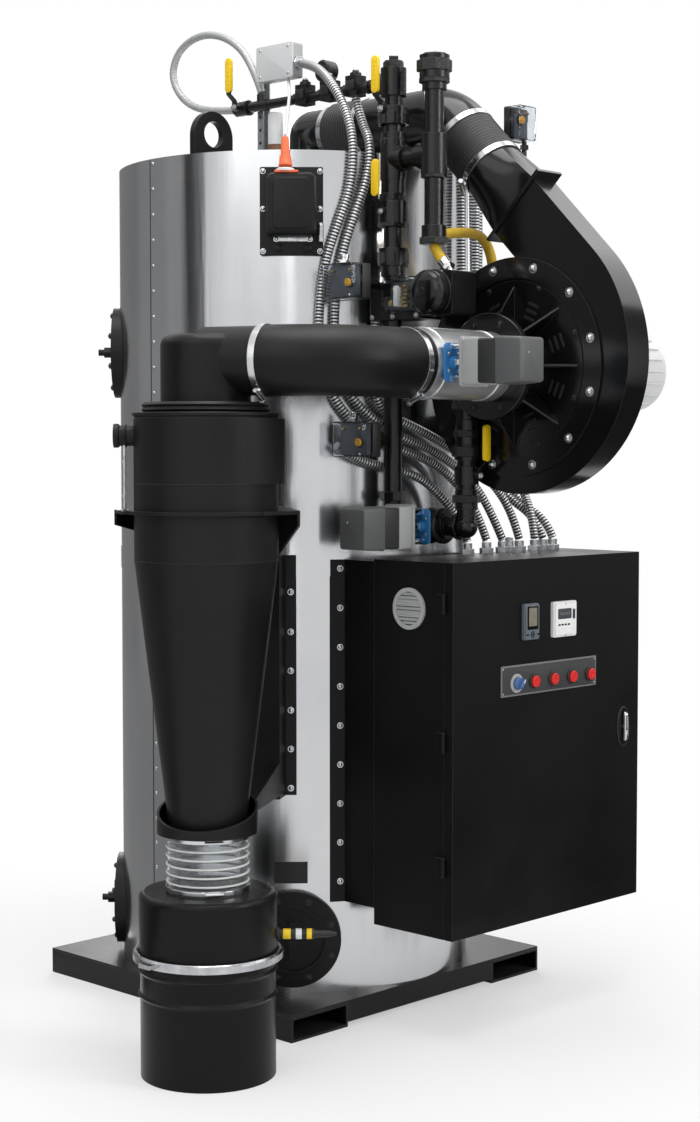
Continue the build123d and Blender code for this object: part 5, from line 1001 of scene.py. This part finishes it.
# Pilot junction box: lid, screws, hub; solenoid coils and the round flange behind it
box(place((-163, -113, 2494), left), (136, 90, 5), -19, 17, 1.0)
box(place((-163, -113, 2494), left), (138, 92, 5), 16, 21, 1.5, slot=1)
lathe(place((-163, -172, 2486), front), [(19, 8), (19, 16), (14, 17), (14, 25), (0, 25)], 6, 2)
finishPiece("junctionBoxDressed", [greyPaint, motorPaint, zinc], "grey_metal", "junction_box")
scatter("junctionScrews", [((-184, y, z), left) for y, z in ((-60, 2460), (-166, 2530), (-60, 2530), (-166, 2460))],
        zinc, **domeHead, head=4, height=2.6, washer=4.4, washerHeight=0.5, stud=1, studLength=1)
coils = (-205, -297, -389)
for y in coils:
    lathe(place((-158, y, 2424)), [(15, 0), (15, 9), (9, 11), (9, 15), (0, 15)])
    lathe(place((-158, y + 26, 2392), back), [(16, 0), (16, 12)], 6)
    box(place((-177, y, 2400), left), (30, 24, 4), -2, 5, 1.0, slot=1)
lathe(place((-150, -268, 2455), left), [(26, -26), (28, -24), (28, 8), (24, 12), (0, 12)], 36)
lathe(place((-158, -268, 2440), (0, 0, -1)), [(7, -16), (7, 22)], 16)
finishPiece("pilotSolenoids", [ironBlack, switchBase], "black_iron")
scatter("pilotNuts", [((-158, y, 2438.5), up) for y in coils], zinc, height=4, washer=7, studLength=6)

# Dark discs in the strut's holes, which paint the shade seen through them; sight pipe and its rusty union
scatter("strutHoles", [((-142, -16, 2262 + 34.5 * k), left) for k in range(8)], switchBase,
        head=3.5, height=0.3, washer=4.5, washerHeight=0.3, stud=1, studLength=0.2, sides=12)
sightAt = place((-136, -68, 2225))
lathe(sightAt, [(21, 0), (21, 22), (17, 23), (17, 40), (20, 41), (20, 58), (17, 59)], 32, 1)
lathe(sightAt, [(17.5, 56), (19, 58), (20, 60), (20, 140), (18, 147), (0, 147)], 32)
lathe(sightAt, [(22, 0), (22, 34), (20.4, 36), (20.4, 62), (19, 63)], 32, 1)
finishPiece("sightPipeDressed", [whitePlastic, copperBrown], "insulation", "sight_pipe")
print("top dressed")

# Facets, plugs, bolts and the chrome elbow on the gas pipework: foot, radius across and height of each union
unions = {
    up: (((-158, -521, 2286), 40, 30), ((-158, -521, 2236), 34, 16), ((-158, -521, 2095), 35, 20),
         ((-158, -521, 2030), 40, 12), ((-158, -521, 1937), 40, 30), ((-158, -521, 2426), 26, 18),
         ((-158, -659, 2372), 38, 22), ((-158, -659, 2400), 44, 30), ((-158, -659, 2436), 36, 8),
         ((-158, -659, 1978), 36, 18), ((-158, -659, 2140), 33, 26), ((-49, -674, 1336), 36, 20),
         ((-49, -674, 1452), 38, 26), ((-49, -674, 1502), 34, 18), ((-49, -674, 1572), 38, 34),
         ((-158, -521, 1340), 32, 24)),
    back: (((-158, 10, 2392), 19, 10), ((-158, 52, 2392), 17, 12)),
    front: (((-49, -640, 1275), 34, 18), ((-158, -430, 2392), 18, 14)),
}
for way, rows in unions.items():
    for foot, across, tall in rows:
        lathe(place(foot, way), [(across - 2.5, 0), (across, 1.5), (across, tall - 1.5), (across - 2.5, tall)], 8)
lathe(place((-158, -521, 2443)), [(17, 0), (17, 12), (15, 14), (0, 14)], 4)
finishPiece("gasUnions", [ironBlack], "black_iron", smooth=20)
bar((-158, -688, 1937), (-158, -704, 1920), 16, 24)
lathe(place((-158, -703, 1921), (0, -0.7, -0.7)), [(16, 0), (18, 2), (18, 10), (16, 12)], 6)
bar((-158, -708, 1916), (-158, -722, 1900), 9, 20)
finishPiece("ventElbow", [chrome], "zinc")
domeProfile = [(54, 0), (55, 2), (55, 7), (51, 9), (47, 15), (38, 20), (24, 23), (10, 24), (10, 27), (0, 27.5)]
lathe(place((-228, -704, 1854), left), domeProfile, 56)
lathe(place((-206, -704, 1854), left), [(56, -4), (57.5, -3), (57.5, 4), (56, 5)], 56)
finishPiece("regulatorDome", [glossBlack], "black_iron")
for foot, lean in (((-322, -508, 1929), (0.1, 0, 1)), ((-312, -530, 1539), (0.15, 0.1, 1))):
    lathe(place(foot, lean), [(13, 0), (14, 1), (14, 7), (13, 8)], 6)
    lathe(place(foot, lean), [(10.5, 7), (10.5, 15), (12, 16), (12, 22), (10, 23)], 20)
finishPiece("switchConnectors", [zinc], "zinc")
smallNut = {"head": 5, "height": 4, "washer": 7}


def ringSpots(x, y, z, radius, start, count):
    # Spots round a level axis, facing left
    ways = [wayTo(start + 360 / count * k) * radius for k in range(count)]
    return [((x, y + way.x, z + way.y), left) for way in ways]


scatter("regulatorBolts", ringSpots(-203, -704, 1854, 46, 30, 6), zinc, **smallNut, studLength=5)
scatter("trainBolts", [((-202, y, z), left) for y in (-640, -560, -490) for z in (1803, 1882)], zinc, **smallNut)
print("gas line dressed")

# Fan: studs on the scroll face, bolts on the inlet flanges and slots in the inlet
fanMid = (-796, 1674.5)
scatter("scrollStuds", ringSpots(-16, *fanMid, 249.5, 15, 12), zinc, **domeHead, head=8.5, height=8, washer=12,
        washerHeight=2)
scatter("inletBolts", ringSpots(-114, *fanMid, 108, 22.5, 8), ironBlack, head=8, height=6, washer=10.5, stud=4,
        studLength=9)
scatter("discBolts", ringSpots(-13, *fanMid, 206, 22.5, 8), ironBlack, "black_iron", height=4, washer=8,
        studLength=5)
for k in range(8):
    way = wayTo(22.5 + 45 * k)
    for reach in (128, 146, 164):
        where = (-13, fanMid[0] + reach * way.x, fanMid[1] + reach * way.y)
        box(place(where, left, (0, -way.y, way.x)), (36, 7, 3.4, 5), -0.2, 0.5)
finishPiece("inletSlots", [switchBase], "black_gloss")
for x in (-150, -352):
    hoop(place((x, *fanMid), left), 83, 86.5, 0, 6, 64, 1.5)
box(place((-245, -796, 1758.5)), (180, 10, 2), -1, 2, 0.5)
hoop(place((-104.4, *fanMid), left), 85, 130.8, 0, 9.8, 96, 1.2, 1)
finishPiece("damperBeads", [ductAluminium, glossBlack], "grey_metal")
# Cooling ribs along the motor, none where its foot and its top plate sit
ribs = {"count": 20, "bare": (4, 5, 6, 14, 15), "middle": 305, "radius": 99, "size": (360, 5, 2)}
for k in set(range(ribs["count"])) - set(ribs["bare"]):
    way = wayTo(360 / ribs["count"] * k)
    middle = (ribs["middle"], fanMid[0] + ribs["radius"] * way.x, fanMid[1] + ribs["radius"] * way.y)
    box(place(middle, (0, way.x, way.y), (1, 0, 0)), ribs["size"], -1, 6, 1.0)
finishPiece("motorRibs", [motorPaint], "grey_metal")


def outlet(along):
    # A point on the slanting line of the fan's outlet
    return (31, -994.2 + 0.70711 * along, 1872.7 + 0.70711 * along)


# Its dark second colour is painted shade in the hollows between the ribs
sleeveRubber = makeGrooved("sleeveRubber", (52, 52, 54), (12,), 0.5, 0.0)
sleeves = {"outletSleeveRibs": (outlet(443), outlet(553), 81.8),
           "topSleeveRibs": ((31, -258, 2326), (31, -148, 2326), 80.2)}
for name, (start, end, radius) in sleeves.items():
    line = bpy.data.meshes.new(name + "Line")
    line.from_pydata([Vector(start) * mm, Vector(end) * mm], [(0, 1)], [])
    growTube(name, line, {"radius": radius, "pitch": 8.8, "depth": 0.016, "sides": 64}, sleeveRubber, ())

# Worm screws under the hose clamps: middle of the clamp, its axis and radius
clamps = (
    ((-716, -645, 1674.5), (0.378, -0.926, 0), 84), ((-410, -796, 1674.5), (1, 0, 0), 84),
    (outlet(433), (0, 1, 1), 84), (outlet(563), (0, 1, 1), 84), ((31, -267, 2326), back, 84),
    ((31, -139, 2326), back, 80),
)
for middle, along, radius in clamps:
    run = Vector(along).normalized()
    out = Vector((-0.35, -0.35, -0.87))
    out = (out - run * out.dot(run)).normalized()
    side = run.cross(out)
    foot = Vector(middle) + out * radius
    screw = foot + out * 8
    box(place(foot, out, side), (34, 18, 3), -3, 5, 1.5)
    bar(screw - side * 26, screw + side * 20, 5.5, 16)
    lathe(place(screw + side * 20, side), [(8, 0), (8, 7), (6.5, 8.5), (0, 8.5)], 6)
finishPiece("clampScrews", [zinc], "zinc")
print("fan dressed")

# Jacket: rivets, painted shadow lines along the seams, bracket and support bolts, hand hole bolts and a blank label
# plate
jacket = {"radius": 480, "seams": (174.4, 354.4), "rivetAngle": 1.4, "rivets": 33, "firstRivet": 100,
          "rivetPitch": 66}
rivet = {**domeHead, "head": 5.2, "height": 3.2, "washer": 5.6, "washerHeight": 0.4, "stud": 1, "studLength": 1}
footBolt = {**domeHead, "height": 4, "washer": 8.5, "stud": 2, "studLength": 2}
for name, seam in zip(("seamRivets", "backSeamRivets"), jacket["seams"]):
    way = wayTo(seam + jacket["rivetAngle"])
    heights = [jacket["firstRivet"] + jacket["rivetPitch"] * k for k in range(jacket["rivets"])]
    scatter(name, [(way * jacket["radius"] + Vector((0, 0, z)), way) for z in heights], zinc, **rivet)
# Thin dark strips along both seams paint the shadow under the lapped edge
for seam in jacket["seams"]:
    for low, high in ((70, 1147), (1207, 2222)):
        box(onJacket(seam, jacket["radius"], (low + high) / 2), (2.4, high - low, 0.5), -1.5, 0.7, 0.2)
finishPiece("jacketSeams", [switchBase], "steel_jacket")
spots = []
for k in range(9):
    for side in (-1, 1):
        way = Vector((side * 243.5, -416, 0)).normalized()
        spots.append((way * 484.2 + Vector((0, 0, 359 + 101 * k)), way))
scatter("panelFootBolts", spots, zinc, **footBolt)
aim, across, spots = Vector((-0.8393, -0.5437, 0)), Vector((0.5437, -0.8393, 0)), []
for z in (604, 705, 805, 906, 1006, 1108):
    for t in (-97.6, 97.6):
        at = aim * math.sqrt(484.5**2 - t * t) + across * t
        spots.append((at + Vector((0, 0, z)), at))
scatter("supportFootBolts", spots, zinc, **footBolt)
handHole, spots = {"out": 496, "bolts": 106, "inner": 82.5, "outer": 90}, []
for angle, height in ((225, 213), (135, 213), (135, 1738)):
    at = onJacket(angle, handHole["out"], height)
    for k in range(8):
        spots.append((local(at, *(wayTo(22.5 + 45 * k) * handHole["bolts"]).xy), wayTo(angle)))
    hoop(at, handHole["inner"], handHole["outer"], -0.5, 3, 56, 1.2)
scatter("handHoleBolts", spots, ironBlack, "black_iron", head=8, height=6, washer=10, stud=4, studLength=9)
finishPiece("handHoleRims", [satinBlack], "black_paint")
label = {"middle": 224.5, "half": math.degrees(43 / 480.6), "steps": 8}
sweep(place((0, 0, 0)), [(479.6, 356), (480.9, 356), (480.9, 412), (479.6, 412)], label["middle"] - label["half"],
      label["middle"] + label["half"], label["steps"])
finishPiece("blankLabelPlate", [switchBase], "black_paint")
print("jacket dressed")

# Cyclone: weld beads, spigot beads, strap down to the shelf; hose clamps, drum latch and level sensor
cycloneMid = (-775, -502)


def onCyclone(z, way=(0, 0, 0), reach=0):
    return Vector((*cycloneMid, z)) + Vector(way) * reach


spigotWay = Vector((-0.70711, 0.70711, 0))
for z in (1214, 1392):
    hoop(place(onCyclone(0)), 166, 168.9, z - 1.5, z + 1.5, 96, 0.7)
for reach in (186, 203):
    hoop(place(onCyclone(1503, spigotWay, reach), spigotWay), 22, 27, -3, 3, 40, 2.0)
box(place(onCyclone(1406, spigotWay, 190), spigotWay), (26, 152, 2), -3, 2, 0.6, slot=1)
hoop(place(onCyclone(0)), 167, 171.5, 1548, 1556, 96, 1.5)
finishPiece("cycloneBeads", [satinBlack, galvanised], "black_paint")
scatter("strapBolts", [(onCyclone(z, spigotWay, 192), spigotWay) for z in (1360, 1440)], zinc, **footBolt)
# The stiffening wire inside the clear hose, then its two clamps
for k in range(5):
    hoop(place(onCyclone(459 + 20.5 * k)), 93.5, 98.6, 0, 4.5, 72, 1.6)
finishPiece("clearHoseWire", [whitePlastic], "clear_plastic")
clampWay, clampSide = Vector((-0.55, -0.83, 0)), Vector((0.83, -0.55, 0))
for z, screwZ in ((561, 566), (440, 446)):
    hoop(place(onCyclone(z)), 95, 99.5, 0, 11, 72, 1.0)
    box(place(onCyclone(screwZ, clampWay, 99), clampWay), (30, 14, 3), -2, 5, 1.2)
    screw = onCyclone(screwZ, clampWay, 106)
    bar(screw - clampSide * 22, screw + clampSide * 22, 4.5, 14)
finishPiece("clearHoseClamps", [bandSteel], "zinc")
# The lever lies along the clamping ring
sweep(place(onCyclone(0)), [(177.2, 281), (180.5, 281), (180.5, 297), (177.2, 297)], 208, 252.8, 14)
finishPiece("drumRingLever", [zinc], "zinc")
sensorAt = place(onCyclone(331, wayTo(-46), 153), wayTo(-46))
for profile, sides, slot in (
    ([(16, 0), (16, 14), (13, 15)], 6, 0), ([(11, 10), (11, 58), (0, 58)], 24, 0),
    ([(12.4, 24), (12.4, 42), (0, 42)], 24, 1), ([(12.6, 54), (12.6, 68), (0, 68)], 24, 2),
    ([(12.4, 80), (12.4, 92), (0, 92)], 24, 1),
    ([(11, 66), (11, 76), (12, 78), (12, 96), (9, 100), (8, 132), (4, 150), (0, 150)], 24, 0),
):
    lathe(sensorAt, profile, sides, slot)
finishPiece("levelSensorDressed", [switchBase, yellowGrip, whitePlastic], "rubber", "level_sensor")
print("cyclone dressed")

low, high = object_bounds()
